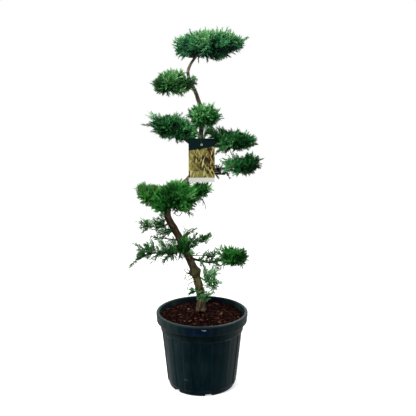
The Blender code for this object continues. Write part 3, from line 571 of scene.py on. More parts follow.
def chipFinish(index, tint):  # one tint, with grain drawn out across the pot and darker pores
    finish = Finish(f"barkChip{index}", Roughness=0.88, Specular_IOR_Level=0.03)
    grain = finish.noise(finish.stretched(finish.place(), (240.0, 90.0, 160.0)), 1.0, 4.0, 0.65)
    dark = paint(*(0.55 * part for part in tint))
    finish.feed("Base Color", finish.mix(finish.between(grain, 0.34, 0.66), dark, paint(*tint)))
    finish.feed("Normal", finish.bump(grain, 0.55, 0.0016))
    return finish.material


mulchBed = makePiece("mulchBed", *bedSkin(mulchShape), [bedFinish()])
settle(mulchBed, ["bark_mulch"])
corners, faces, numbers = chipSkins(mulchShape)
chipFinishes = [chipFinish(index, tint) for index, (tint, weight) in enumerate(mulchShape["tints"])]
mulchChips = makePiece("mulchChips", corners, faces, chipFinishes, numbers, smooth=False)
settle(mulchChips)
print("mulch:", len(mulchChips.data.polygons) // 12, "chips")


# Trunk and boughs

trunkShape = dict(
    bends=[(-0.006, 0.020, 0.360), (-0.007, 0.020, 0.475), (-0.041, 0.009, 0.625), (-0.120, -0.005, 0.807),
           (-0.177, -0.008, 0.938), (-0.112, 0.015, 1.052), (-0.022, 0.030, 1.155), (-0.013, 0.026, 1.262),
           (0.001, 0.015, 1.418), (-0.026, 0.005, 1.530), (-0.066, 0.000, 1.622), (-0.053, 0.000, 1.678),
           (-0.030, 0.000, 1.711)],
    points=38, gapPoints=90, foot=0.3803, sunk=0.008, over=0.003,
    butt=0.0210, tip=0.0060, taper=1.6, flare=0.007, flareFoot=0.380, flareHeight=0.020,
    roots=5, rootFirstDeg=23.0, rootReach=0.024, rootFall=0.016,
    burlHeight=0.612, burlOut=0.0115, burlTall=0.016, burlKnob=0.5,
    stubs=[((-1.0, -0.3, -0.15), 0.0385), ((0.8, -0.5, -0.25), 0.0343)],  # way out of the burl, and reach
    stubRadius=0.0105, stubTaper=(1.0, 0.86, 0.72, 0.62, 0.30),
    stubBark=dict(sides=24, step=0.0016, relief=0.0005),
    bark=dict(sides=56, step=0.0026, relief=0.00115, size=0.0060),
)
boughShape = dict(
    limbs={  # height on the trunk, radii at butt and end, sag midway
        "left_high_bough": (1.573, 0.0060, 0.0042, 0.012), "centre_bough": (1.372, 0.0062, 0.0048, 0.002),
        "left_middle_bough": (1.270, 0.0090, 0.0062, 0.006),
        "right_middle_bough": (1.290, 0.0075, 0.0052, 0.006),
        "right_lower_bough": (1.190, 0.0066, 0.0044, 0.028),
        "main_left_bough": (0.948, 0.0092, 0.0068, 0.008), "main_front_bough": (0.972, 0.0090, 0.0066, 0.004),
        "main_right_bough": (1.040, 0.0070, 0.0050, 0.004), "main_back_bough": (1.000, 0.0088, 0.0066, 0.004),
        "left_wisp_bough": (0.882, 0.0046, 0.0030, 0.012), "left_spray_bough": (0.752, 0.0064, 0.0040, 0.006),
        "left_near_bough": (0.730, 0.0056, 0.0042, 0.004), "left_upper_bough": (0.790, 0.0046, 0.0032, 0.004),
        "right_wisp_bough": (0.778, 0.0050, 0.0036, 0.004), "right_low_bough": (0.692, 0.0064, 0.0042, 0.018),
        "low_tuft_bough": (0.606, 0.0046, 0.0032, 0.004),
    },
    coreStandOff=0.14, openEnd=0.60, samples=200, collar=1.45, collarShare=0.4, points=7,
    finePoints=26, wander=0.0044, bark=dict(sides=16, step=0.0030, relief=0.00045, size=0.0038),
)
stemShape = dict(  # where one starts and bends past its wood's tip, or the like for one that leaves the trunk
    past=(0.0003, 0.010), ofTip=0.92, bendShare=0.2, radius=0.0028, heartDrop=0.30,
    beyond=0.35, endShare=0.5, points=5, finePoints=16, bark=dict(sides=9, step=0.0045),
)

# Each mass: what carries it, or its height on the trunk; its centre; its reach along X, along Y, up and down;
# its slope along X; its limbs; its core; its tufts; its palette; its glow, which shifts the painted light of
# its tints; its seed
massKeys = ("carrier", "centre", "reach", "slope", "branches", "core", "tufts", "palette", "glow", "seed")
massTable = [
    ("crown_pad", "trunk", (0.044, 0.000, 1.760), (0.188, 0.165, 0.086, 0.072), 0.05, 20, 0.78, 300, "blue",
     0.07, 10),
    ("left_high_pad", "left_high_bough", (-0.154, -0.034, 1.586), (0.120, 0.104, 0.068, 0.062), -0.02, 13,
     0.62, 122, "mellow", 0.16, 5),
    ("high_side_tuft", 1.586, (-0.030, -0.012, 1.594), (0.024, 0.032, 0.036, 0.036), 0.0, 4, 0.0, 9, "cool",
     0, 7),
    ("centre_pad", "centre_bough", (0.006, -0.060, 1.430), (0.104, 0.086, 0.064, 0.074), 0.04, 11, 0.68, 94,
     "bright", 0.15, 4),
    ("left_middle_pad", "left_middle_bough", (-0.166, 0.016, 1.366), (0.146, 0.116, 0.074, 0.060), -0.14, 14,
     0.74, 168, "cool", 0.08, 2),
    ("right_middle_pad", "right_middle_bough", (0.174, 0.030, 1.300), (0.128, 0.112, 0.072, 0.056), -0.10, 12,
     0.72, 140, "deep", 0.20, 6),
    ("right_lower_pad", "right_lower_bough", (0.218, -0.040, 1.182), (0.098, 0.088, 0.064, 0.051), 0.06, 10,
     0.70, 88, "deep", 0.10, 10),
    ("right_lower_twigs", 1.148, (0.098, -0.022, 1.146), (0.052, 0.044, 0.034, 0.034), 0.10, 7, 0.0, 16,
     "dry", 0, 10),
    ("main_left_pad", "main_left_bough", (-0.264, -0.006, 1.030), (0.100, 0.114, 0.072, 0.080), -0.36, 12,
     0.66, 112, "rusty", 0.32, 8),
    ("main_front_pad", "main_front_bough", (-0.132, -0.116, 1.034), (0.126, 0.088, 0.092, 0.102), 0.06, 13,
     0.76, 168, "warm", 0.08, 8),
    ("main_right_pad", "main_right_bough", (-0.010, -0.026, 1.050), (0.072, 0.074, 0.056, 0.036), 0.36, 9,
     0.70, 74, "warm", 0.14, 4),
    ("main_back_pad", "main_back_bough", (-0.130, 0.122, 1.014), (0.130, 0.086, 0.082, 0.086), 0.0, 11, 0.74,
     140, "warm", 0, 8),
    ("left_wisp_far", "left_wisp_bough", (-0.294, -0.022, 0.875), (0.046, 0.048, 0.048, 0.050), 0.0, 7, 0.0,
     22, "warm", 0.08, 1),
    ("left_wisp_near", 0.915, (-0.218, -0.034, 0.890), (0.044, 0.042, 0.040, 0.046), 0.0, 7, 0.0, 20, "warm",
     0.08, 6),
    ("left_spray_near", "left_near_bough", (-0.180, -0.046, 0.746), (0.072, 0.064, 0.058, 0.056), -0.05, 12,
     0.0, 44, "olive", 0.04, 9),
    ("left_spray_far", "left_spray_bough", (-0.304, 0.004, 0.727), (0.080, 0.062, 0.066, 0.074), 0.30, 12,
     0.0, 48, "olive", 0.08, 6),
    ("left_spray_top", "left_upper_bough", (-0.226, 0.034, 0.798), (0.074, 0.048, 0.030, 0.030), -0.10, 8,
     0.0, 8, "olive", 0, 3),
    ("trunk_clump", 0.752, (-0.094, -0.070, 0.768), (0.052, 0.046, 0.056, 0.056), 0.0, 7, 0.66, 34, "warm", 0,
     1),
    ("right_wisp", "right_wisp_bough", (-0.008, 0.004, 0.794), (0.068, 0.056, 0.054, 0.054), 0.10, 10, 0.0,
     26, "warm", 0.05, 6),
    ("right_low_pad", "right_low_bough", (0.171, -0.022, 0.705), (0.076, 0.076, 0.070, 0.070), 0.0, 10, 0.56,
     66, "warm", 0.06, 8),
    ("right_low_wisp", 0.706, (0.052, -0.016, 0.716), (0.044, 0.038, 0.030, 0.030), 0.0, 6, 0.0, 14, "olive",
     0, 4),
    ("low_tuft", "low_tuft_bough", (0.053, -0.010, 0.569), (0.056, 0.050, 0.068, 0.068), 0.0, 10, 0.0, 34,
     "fresh", 0.12, 8),
    ("foot_tuft_left", 0.520, (-0.056, -0.026, 0.536), (0.028, 0.032, 0.034, 0.034), 0.0, 4, 0.0, 11, "fresh",
     0.16, 1),
    ("foot_tuft_front", 0.464, (0.004, -0.040, 0.500), (0.046, 0.036, 0.052, 0.052), 0.0, 6, 0.0, 26, "fresh",
     0.16, 3),
]
# Hundredths by which a mass's edge stands further out than its egg, seen from the front, every 22.5 degrees
# from +X up
edgeGains = dict(
    crown_pad=[-27, 8, 10, 17, -5, 33, 13, 3, 14, -17, -46, -53, -36, 11, -17, -59],
    left_high_pad=[0, -12, 17, 21, 15, 7, -36, -32, -1, -25, -21, -22, 9, 44, 52, 23],
    high_side_tuft=[0, -12, 0, -12, 0, 0, 0, 0, 0, 0, 0, 0, 0, 0, -4, 0],
    centre_pad=[-6, 21, 3, 9, 23, 5, 9, -6, -41, -42, -15, 0, 18, 17, -2, -26],
    left_middle_pad=[25, 25, 20, 24, 19, 20, 1, -30, -74, -77, -52, -34, -11, 7, 20, 31],
    right_middle_pad=[-30, 9, -3, -29, 6, 4, 18, 42, 17, 20, 64, 1, -43, -56, -52, -51],
    right_lower_pad=[-38, -14, 10, -1, 12, 7, 37, 30, 28, 28, -2, -16, -39, -60, -76, -77],
    main_left_pad=[20, 12, 0, 5, -19, -17, -11, -13, -13, -38, -41, -37, -17, -10, 0, 0],
    main_front_pad=[16, 12, 27, 4, -11, 0, -3, 7, 24, 0, 0, -12, 0, 30, 20, 12],
    main_right_pad=[-15, -5, -6, 6, -4, 6, -16, 0, 0, 0, -28, -19, -36, -66, -57, -52],
    main_back_pad=[0, 18, 12, 0, -6, 18, -4, 6, 0, 0, 0, 0, 0, 0, 4, 0],
    left_wisp_far=[0, 0, 12, 2, 2, 7, 26, 22, 28, 16, 19, 0, 0, 0, 0, 0],
    left_wisp_near=[-12, 0, 0, 0, -4, 0, 12, 12, 0, 0, 0, 0, 0, 0, 0, 0],
    left_spray_near=[-16, 0, 1, 8, 40, 49, 12, 7, 0, 2, 24, 31, 42, 31, 42, 2],
    left_spray_far=[-4, -12, -12, -16, -1, -7, -24, -12, -19, -4, 0, -19, -10, 3, 15, 0],
    left_spray_top=[4, 0, 0, -12, 0, -8, 0, 12, 28, 0, -12, 0, 0, 0, 0, -6],
    trunk_clump=[0, 0, 0, 12, 0, 0, 0, 12, 0, 0, 0, 0, 0, 0, 0, 20],
    right_wisp=[4, 1, -12, 0, 3, 19, 21, 3, 3, 21, 17, 5, 0, 0, -16, -10],
    right_low_pad=[10, 6, 16, 2, 10, 26, 14, -4, -16, -10, 2, -6, 4, 5, -12, -5],
    right_low_wisp=[12, 0, 0, 0, 0, 0, 0, 0, 0, 0, 0, 0, 0, 0, 0, 0],
    low_tuft=[4, 8, 7, 23, 9, 1, 0, 13, 7, 31, 17, 19, 18, 13, 1, -7],
    foot_tuft_left=[0, 0, 0, 15, -15, -35, -28, -4, 5, -3, 6, 7, 0, 0, 0, 0],
    foot_tuft_front=[21, 16, 15, 1, 0, 0, -12, 0, 4, 1, 7, 20, 11, 1, 0, 2],
)
masses = {row[0]: dict(zip(massKeys, row[1:])) for row in massTable}


# How far out points lie in a mass's space, 0 at its centre and 1 at its edge: the length of their offset,
# each part over the reach that way, once the slope along X is taken off its height
def spaceDepth(mass, points):
    x, y, up, down = mass["reach"]
    away = np.asarray(points, float) - mass["centre"]
    rise = away[..., 2] - mass["slope"] * away[..., 0]
    return np.sqrt((away[..., 0] / x)**2 + (away[..., 1] / y)**2 + (rise / np.where(rise > 0, up, down))**2)


def edgePoints(mass, directions):  # where directions on the unit sphere meet that edge
    x, y, up, down = mass["reach"]
    away = directions * np.where(directions[:, 2:] > 0, (x, y, up), (x, y, down))
    away[:, 2] += mass["slope"] * away[:, 0]
    return away + mass["centre"]


def heartOf(mass):  # the middle of its twigs, below its centre by a share of the reach down
    return np.array(mass["centre"]) - skyward * stemShape["heartDrop"] * mass["reach"][3]


def trunkRadii(path):  # butt to tip by a power of the share of length, plus a flare fading up from the soil
    share = np.linspace(0, 1, len(path))
    taper = blended((trunkShape["tip"], trunkShape["butt"]), 1 - share**trunkShape["taper"])
    above = np.clip(path[:, 2] - trunkShape["flareFoot"], 0, None)
    return taper + trunkShape["flare"] * np.exp(-above / trunkShape["flareHeight"])


trunkLine = smoothPath(trunkShape["bends"], trunkShape["points"])
lineRadii = trunkRadii(trunkLine)


def radiusAt(heights):  # of the trunk, read off its line
    return np.interp(heights, trunkLine[:, 2], lineRadii)


def trunkAt(height):  # the trunk's middle at a height
    return np.array([np.interp(height, trunkLine[:, 2], trunkLine[:, axis]) for axis in range(2)] + [height])


def boughPath(name):  # a sagging line from the trunk towards its mass's heart, to where that grows dense
    height, butt, end, sag = boughShape["limbs"][name]
    mass = next(mass for mass in masses.values() if mass["carrier"] == name)
    start, heart = trunkAt(height), heartOf(mass)
    depth = mass["core"] + boughShape["coreStandOff"] if mass["core"] else boughShape["openEnd"]
    line = blended((start, heart), np.linspace(0, 1, boughShape["samples"])[:, None])
    tip = line[int(np.argmax(spaceDepth(mass, line) < depth))]
    path = smoothPath([start, (start + tip) / 2 - (0, 0, sag), tip], boughShape["points"])
    share = np.linspace(0, 1, len(path))
    collar = 1 + (boughShape["collar"] - 1) * np.clip(1 - share / boughShape["collarShare"], 0, 1)**2
    return path, blended((butt, end), share) * collar


# From just past the tip of its wood, or from the trunk's middle, through the heart and on by a share of
# the reach
def stemPath(name):
    mass, look = masses[name], stemShape
    heart = heartOf(mass)
    if isinstance(mass["carrier"], str):
        path, radii = boughs.get(mass["carrier"], (trunkLine, lineRadii))
        start, bend = (path[-1] + unit(path[-1] - path[-2]) * past for past in look["past"])
        radius = look["ofTip"] * radii[-1]
    else:
        start, radius = trunkAt(mass["carrier"]), look["radius"]
        bend = blended((start, heart), look["bendShare"])
    onward = heart + unit(heart - bend) * look["beyond"] * mass["reach"][0]
    stem = np.vstack([start, smoothPath([bend, heart, onward], look["points"])])
    return stem, np.linspace(radius, look["endShare"] * radius, len(stem))


# A limb's path with slow wander added, none at either end: noise times a sine of the share of its length
def wandered(path, amount, seed, cell=0.045):
    share = np.linspace(0, 1, len(path))[:, None]
    sway = np.stack([latticeNoise(path, cell, seed * 7 + axis) for axis in range(3)], 1)
    return path + amount * sway * np.sin(math.pi * share)


barkShape = dict(
    drawn=(1, 1, 0.13), bend=0.5, bendCell=2.2, steep=3.2, strips=1.35,
    fineDrawn=(1, 1, 0.2), fineCell=0.36, fineSteep=2.4, fine=0.65, ends=-0.2,
    lumps=((0.07, 0.030, 5), (0.03, 0.011, 6)),  # share of the radius, cell, and what is added to the seed
    apart=(0.37, 0.11, 0), leastRows=4,
)


# From -1 in a furrow to 1 on a strip of bark: noise drawn out along the limb, whose crossings of zero are
# furrows
def barkRelief(straight, size, seed):
    look = barkShape
    drawn = straight * look["drawn"]
    bend = look["bend"] * size * latticeNoise(drawn, look["bendCell"] * size, seed)[..., None]
    strips = np.abs(latticeNoise(drawn + bend, size, seed + 1)) * look["steep"]
    fine = np.abs(latticeNoise(straight * look["fineDrawn"], look["fineCell"] * size, seed + 2))
    fine = fine * look["fineSteep"]
    return np.minimum(strips, 1) * look["strips"] + np.minimum(fine, 1) * look["fine"] - 1


# A limb's skin: rings along its path, whose radii swell by slow lumps and by the relief of its bark. Each
# corner keeps its place on the limb made straight, and its relief, for the material
def limbSkin(path, radii, sides, step, relief, size, seed, shape=None):
    length = np.linalg.norm(np.diff(path, axis=0), axis=1).sum()
    rows = max(barkShape["leastRows"], int(length / step))
    fine = smoothPath(path, rows)
    share = np.linspace(0, 1, rows)[:, None]
    angles = np.linspace(0, 2 * math.pi, sides, endpoint=False)[None] + 0 * share
    around = respaced(radii, rows)[:, None] + 0 * angles
    straight = np.stack([around * np.cos(angles), around * np.sin(angles), share * length + 0 * angles], -1)
    straight += seed * np.array(barkShape["apart"])
    bark = barkRelief(straight, size, seed)
    swells = (amount * latticeNoise(straight, cell, seed + more) for amount, cell, more in barkShape["lumps"])
    around = around * sum(swells, 1) + relief * bark
    if shape is not None:
        around = around + shape(fine, angles)
    corners, faces = closedSkin(ringsAlong(fine, around, angles))
    return corners, faces, closedSkin(straight)[0], np.append(bark.ravel(), [barkShape["ends"]] * 2)


# What stands out from the trunk's own radius: root shoulders that fade up from the soil, and the burl
def trunkSwelling(path, angles):
    above = np.clip(path[:, 2] - trunkShape["foot"], 0, None)[:, None]
    lobes = (0.5 + 0.5 * np.cos(trunkShape["roots"] * (angles - math.radians(trunkShape["rootFirstDeg"]))))**2
    roots = trunkShape["rootReach"] * np.exp(-above / trunkShape["rootFall"]) * lobes
    off = (path[:, 2:] - trunkShape["burlHeight"]) / trunkShape["burlTall"]
    knobs = 1 + trunkShape["burlKnob"] * np.sin(3 * angles + 1.0) * np.sin(2 * angles)
    return roots + trunkShape["burlOut"] * np.exp(-off * off) * knobs


barkLook = dict(
    trunk=(((66, 54, 46), (140, 128, 118)), ((46, 28, 18), (112, 90, 66)), ((34, 28, 14), (92, 80, 48))),
    bough=(((70, 46, 30), (126, 98, 72)), ((36, 28, 18), (90, 74, 50)), ((22, 20, 14), (58, 50, 36))),
    moss=[  # height on the trunk, reach up and down, share and tint
        (0.622, 0.042, 0.80, (58, 58, 18)), (0.574, 0.040, 0.70, (126, 120, 70)),
        (0.468, 0.036, 0.45, (104, 92, 60))],
    mossAcross=0.070,
)


# Bark: dark and pale tints by its fibres for high up, midway and low down, parted by height and noise; rust,
# plates and moss in patches; pale on the strips, and painted shade dark in the furrows
def barkFinish(name, shift, tints):
    finish = Finish(name, Specular_IOR_Level=0.25)
    place = finish.place()
    straight = finish.node("ShaderNodeAttribute", dict(attribute_name="straight"), out="Vector")
    relief = finish.node("ShaderNodeAttribute", dict(attribute_name="relief"), out="Fac")
    fibres = finish.noise(finish.stretched(straight, (420.0, 420.0, 34.0)), 1.0, 5.0, 0.62, 0.3)
    patches = finish.noise(place, 17.0, 4.0, 0.6)
    level = finish.part(place, "Z") + (patches - 0.5) * 0.5 - shift
    grain = finish.between(fibres, 0.3, 0.7)
    grey, brown, mossy = (finish.mix(grain, *(paint(*tint) for tint in pair)) for pair in tints)
    body = finish.mix(finish.between(level, 1.22, 1.02), grey, brown)
    body = finish.mix(finish.between(level, 0.84, 0.60), body, mossy)
    rust = finish.noise(finish.stretched(straight, (90.0, 90.0, 12.0)), 1.0, 3.0, 0.6)
    body = finish.mix(finish.between(rust, 0.50, 0.66, 0.0, 0.70), body, paint(88, 46, 30))
    plates = finish.noise(finish.stretched(straight, (120.0, 120.0, 30.0)), 1.0, 3.0, 0.6)
    body = finish.mix(finish.between(plates, 0.50, 0.62, 0.0, 0.60), body, paint(138, 120, 94))
    body = finish.mix(finish.between(plates, 0.44, 0.34, 0.0, 0.65), body, paint(40, 24, 16))
    body = finish.mix(finish.between(relief, 0.35, 1.0, 0.0, 0.28), body, paint(150, 138, 120))
    for height, reach, share, tint in barkLook["moss"]:
        sizes = (barkLook["mossAcross"], barkLook["mossAcross"], reach)
        moss = finish.patch(place, tuple(trunkAt(height)), sizes) * share
        body = finish.mix(moss * finish.between(fibres, 0.34, 0.54, 0.35, 1.0), body, paint(*tint))
    # painted shade: darker in the furrows of the bark's relief
    furrow = finish.between(relief, 0.25, -0.75, 0.0, 0.82)
    finish.feed("Base Color", finish.mix(furrow, body, paint(30, 22, 17)))
    finish.feed("Roughness", finish.between(fibres, 0.2, 0.8, 0.82, 0.95))
    finish.feed("Normal", finish.bump(fibres + patches * 0.3, 0.55, 0.0016))
    return finish.material


# Limbs as one piece, each a path with its radii and any settings of its own, and with a seed by its number
def barkPiece(name, limbs, settings, finish, nodes):
    parts = [limbSkin(path, radii, seed=seed, **{**settings, **extra})
             for seed, (path, radii, extra) in enumerate(limbs, 1)]
    corners, faces = joined([part[:2] for part in parts])
    straight, relief = (np.concatenate([part[which] for part in parts]) for which in (2, 3))
    made = makePiece(name, corners, faces, [finish], attributes=dict(straight=straight, relief=relief))
    settle(made, nodes)
    print(name + ":", len(faces), "triangles")


boughs = {name: boughPath(name) for name in boughShape["limbs"]}
stems = {name: stemPath(name) for name in masses}

top = trunkLine[-1] + unit(trunkLine[-1] - trunkLine[-2]) * trunkShape["over"]
trunkPath = np.vstack([trunkLine[trunkLine[:, 2] > trunkShape["foot"] - trunkShape["sunk"]], top])
limbs = [(trunkPath, radiusAt(trunkPath[:, 2]), dict(shape=trunkSwelling))]
for way, reach in trunkShape["stubs"]:
    widths = trunkShape["stubRadius"] * np.array(trunkShape["stubTaper"])
    run = unit(np.array(way)) * reach * np.linspace(0, 1, len(widths))[:, None]
    limbs.append((trunkAt(trunkShape["burlHeight"]) + run, widths, trunkShape["stubBark"]))
barkPiece("trunkBark", limbs, trunkShape["bark"], barkFinish("trunkBark", 0.0, barkLook["trunk"]), ["trunk"])

limbs = []
for index, (path, radii) in enumerate(boughs.values()):
    fine = smoothPath(path, boughShape["finePoints"])
    limbs.append((wandered(fine, boughShape["wander"], index), respaced(radii, len(fine)), {}))
for path, radii in stems.values():
    fine = smoothPath(path, stemShape["finePoints"])
    limbs.append((fine, respaced(radii, len(fine)), stemShape["bark"]))
barkPiece("boughBark", limbs, boughShape["bark"], barkFinish("boughBark", 0.20, barkLook["bough"]),
          list(boughs))


# Label

cardShape = dict(
    width=0.130, height=0.218, top=1.3185, y=-0.058, edge=0.0004,
    hole=(0.0, 0.0, 1.2875), ring=0.0050, ringEdge=0.0003, headFoot=1.268, headSlope=0.16, stripTop=1.1225,
    blades=[(0.7, (112, 74, 44)), (-0.5, (180, 172, 96)), (0.25, (202, 196, 132))],  # turn and tint
    bladeSize=(0.0075, 1.0, 0.045),
)


# The card: cloudy browns and greens with slanting blades in its picture, a pale strip below it, a dark
# sloping head above, and a pale ring round the hole
def cardFinish(shape):
    finish = Finish("labelCard", Roughness=0.42, Specular_IOR_Level=0.08)
    place = finish.place()
    cloud = finish.noise(place, 24.0, 4.0, 0.6)
    body = finish.mix(finish.between(cloud, 0.48, 0.60), paint(40, 34, 22), paint(132, 124, 66))
    for turn, tint in shape["blades"]:
        drawn = finish.node("ShaderNodeMapping", dict(vector_type="TEXTURE"), {
            "Vector": place, "Rotation": (0.0, turn, 0.0), "Scale": shape["bladeSize"]})
        blades = finish.noise(drawn, 1.0, 2.0, 0.5, 0.4)
        body = finish.mix(finish.between(blades, 0.57, 0.62), body, paint(*tint))
    height, edge = finish.part(place, "Z"), shape["edge"]
    strip = finish.between(height, shape["stripTop"] + edge, shape["stripTop"] - edge)
    body = finish.mix(strip, body, paint(226, 228, 220))
    slanted = height - finish.part(place, "X") * shape["headSlope"]
    head = finish.between(slanted, shape["headFoot"] - edge, shape["headFoot"] + edge)
    body = finish.mix(head, body, paint(8, 30, 30))
    flat = finish.stretched(place, (1.0, 0.0, 1.0))
    apart = finish.vectorMaths("DISTANCE", flat, shape["hole"], "Value")
    ring = finish.between(apart, shape["ring"] + shape["ringEdge"], shape["ring"] - shape["ringEdge"])
    finish.feed("Base Color", finish.mix(ring, body, paint(214, 218, 214)))
    return finish.material


def repaint(node, material):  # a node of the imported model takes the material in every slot
    for place in bpy.data.objects[node].material_slots:
        place.material = material


repaint("label_card", cardFinish(cardShape))
repaint("label_string", plainFinish("jute", (78, 72, 54), 0.9))
print("label: card and string painted")


# Foliage

sprayKinds = dict(  # of masses with a core, and of the others and all that grows along a bough
    dense=dict(lowest=-0.62, limbRun=0.64, limbRadius=(0.0040, 0.0015), tufts=1, size=1,
               plumes=14, along=0.50, fan=74),
    open=dict(lowest=-0.80, limbRun=0.52, limbRadius=(0.0024, 0.0012), tufts=1.90, size=0.52,
              plumes=7, along=0.06, fan=46),
)
sprayShape = dict(
    leaveMiddle=0.5, leaveSpread=0.3, limbRings=7, limbSides=5, limbSag=0.05, limbWander=0.006,
    twigRadius=(0.0013, 0.0007), twigRings=5, twigSides=4, twigBow=0.22, twigWander=0.08,
    turnScatter=0.05, ragged=0.14, raggedCell=0.62, lobeReach=(0.86, 1.13), lobeDip=0.17, lobeLight=0.08,
    tuftLight=0.10, outer=0.74, outerShare=(0.86, 0.99), innerShare=(0.50, 0.86), openShare=(0.36, 1.05),
    scatter=0.055, strays=0.20, strayShare=(1.08, 1.27), furthest=1.42,
    plumeLength=(0.024, 0.056), plumeOfReach=0.62, lift=0.20, outwardScatter=0.12, openOnward=0.75,
    tipBack=0.78,
)
dressShape = dict(
    jitter=0.03, fanFrom=8, fanPower=0.8, fanScatter=0.16, liftShare=0.7, limit=1.45, shortest=0.4,
    limbClear=0.0025, cardClear=0.004, neighbour=0.9, neighbourLead=0.05,
    hollow=0.024, crownHollow=0.055, hollowTop=0.004, hollowPoints=24,
    lightDepth=(0.55, 1.02), openDepth=(0.45, 0.95), deepLight=0.66, upLight=0.16, highLight=0.14,
    lightScatter=0.13, cloudLight=0.16, cloudCell=0.035, cloudSeed=11,
)
sideShape = dict(  # twigs on a bough, and those of loose sprays
    points=40, reach=0.05, up=0.45, onward=0.85, bow=0.25, bowBack=0.4, run=(0.014, 0.036),
    size=(0.38, 0.58), light=(0.05, 0.14), startScatter=0.3, endScatter=0.7, sway=0.10,
)
plumeShape = dict(
    seed=7, templates=8, needles=10, spots=(0.06, 0.74), leanDeg=(18, 40), turn=0.75, length=(0.46, 0.14),
    vary=(0.8, 1.2), widths=((0.050, 0.046), (0.056, 0.052)), curl=0.16, smallest=0.028,
)
palettes = dict(  # from dark to light: shaded and lit copies of each green, picked by painted light and shade
    blue=[(20, 66, 46), (38, 106, 68), (60, 142, 86), (90, 170, 104), (136, 196, 134)],
    mellow=[(26, 66, 30), (48, 106, 52), (72, 144, 70), (104, 172, 96), (146, 200, 136)],
    cool=[(12, 54, 28), (32, 102, 50), (58, 146, 74), (98, 176, 104), (150, 202, 150)],
    deep=[(8, 54, 16), (20, 84, 34), (36, 118, 52), (62, 148, 74), (106, 176, 110)],
    bright=[(18, 72, 26), (40, 114, 50), (66, 152, 74), (100, 180, 98), (138, 200, 130)],
    warm=[(10, 60, 12), (28, 104, 30), (50, 142, 50), (80, 168, 72), (120, 188, 108)],
    olive=[(24, 64, 30), (44, 98, 48), (70, 132, 70), (106, 160, 104), (156, 196, 154)],
    rusty=[(20, 66, 18), (42, 112, 38), (68, 148, 58), (96, 170, 82), (130, 190, 116)],
    fresh=[(26, 76, 32), (54, 124, 58), (88, 168, 90), (118, 192, 122), (158, 210, 154)],
    dry=[(30, 32, 22), (36, 50, 32), (46, 68, 42), (66, 92, 58), (94, 118, 86)],
)
rustShape = dict(  # patches of rusty plumes, by noise
    tints=[(92, 64, 36), (128, 90, 54)], cell=0.048, seed=23, scatter=0.25, over=0.80, number=100)
boughTufts = {  # tufts along a bough, and the part of it that they grow on
    "left_spray_bough": (26, (0.22, 1.0)), "left_near_bough": (12, (0.3, 1.0)),
    "left_upper_bough": (2, (0.2, 1.0)), "left_wisp_bough": (14, (0.25, 1.0)),
    "right_wisp_bough": (14, (0.15, 1.0)), "main_left_bough": (12, (0.1, 0.8)),
    "right_low_bough": (20, (0.22, 1.0)), "right_lower_bough": (14, (0.3, 1.0)),
    "low_tuft_bough": (5, (0.4, 1.0)),
}
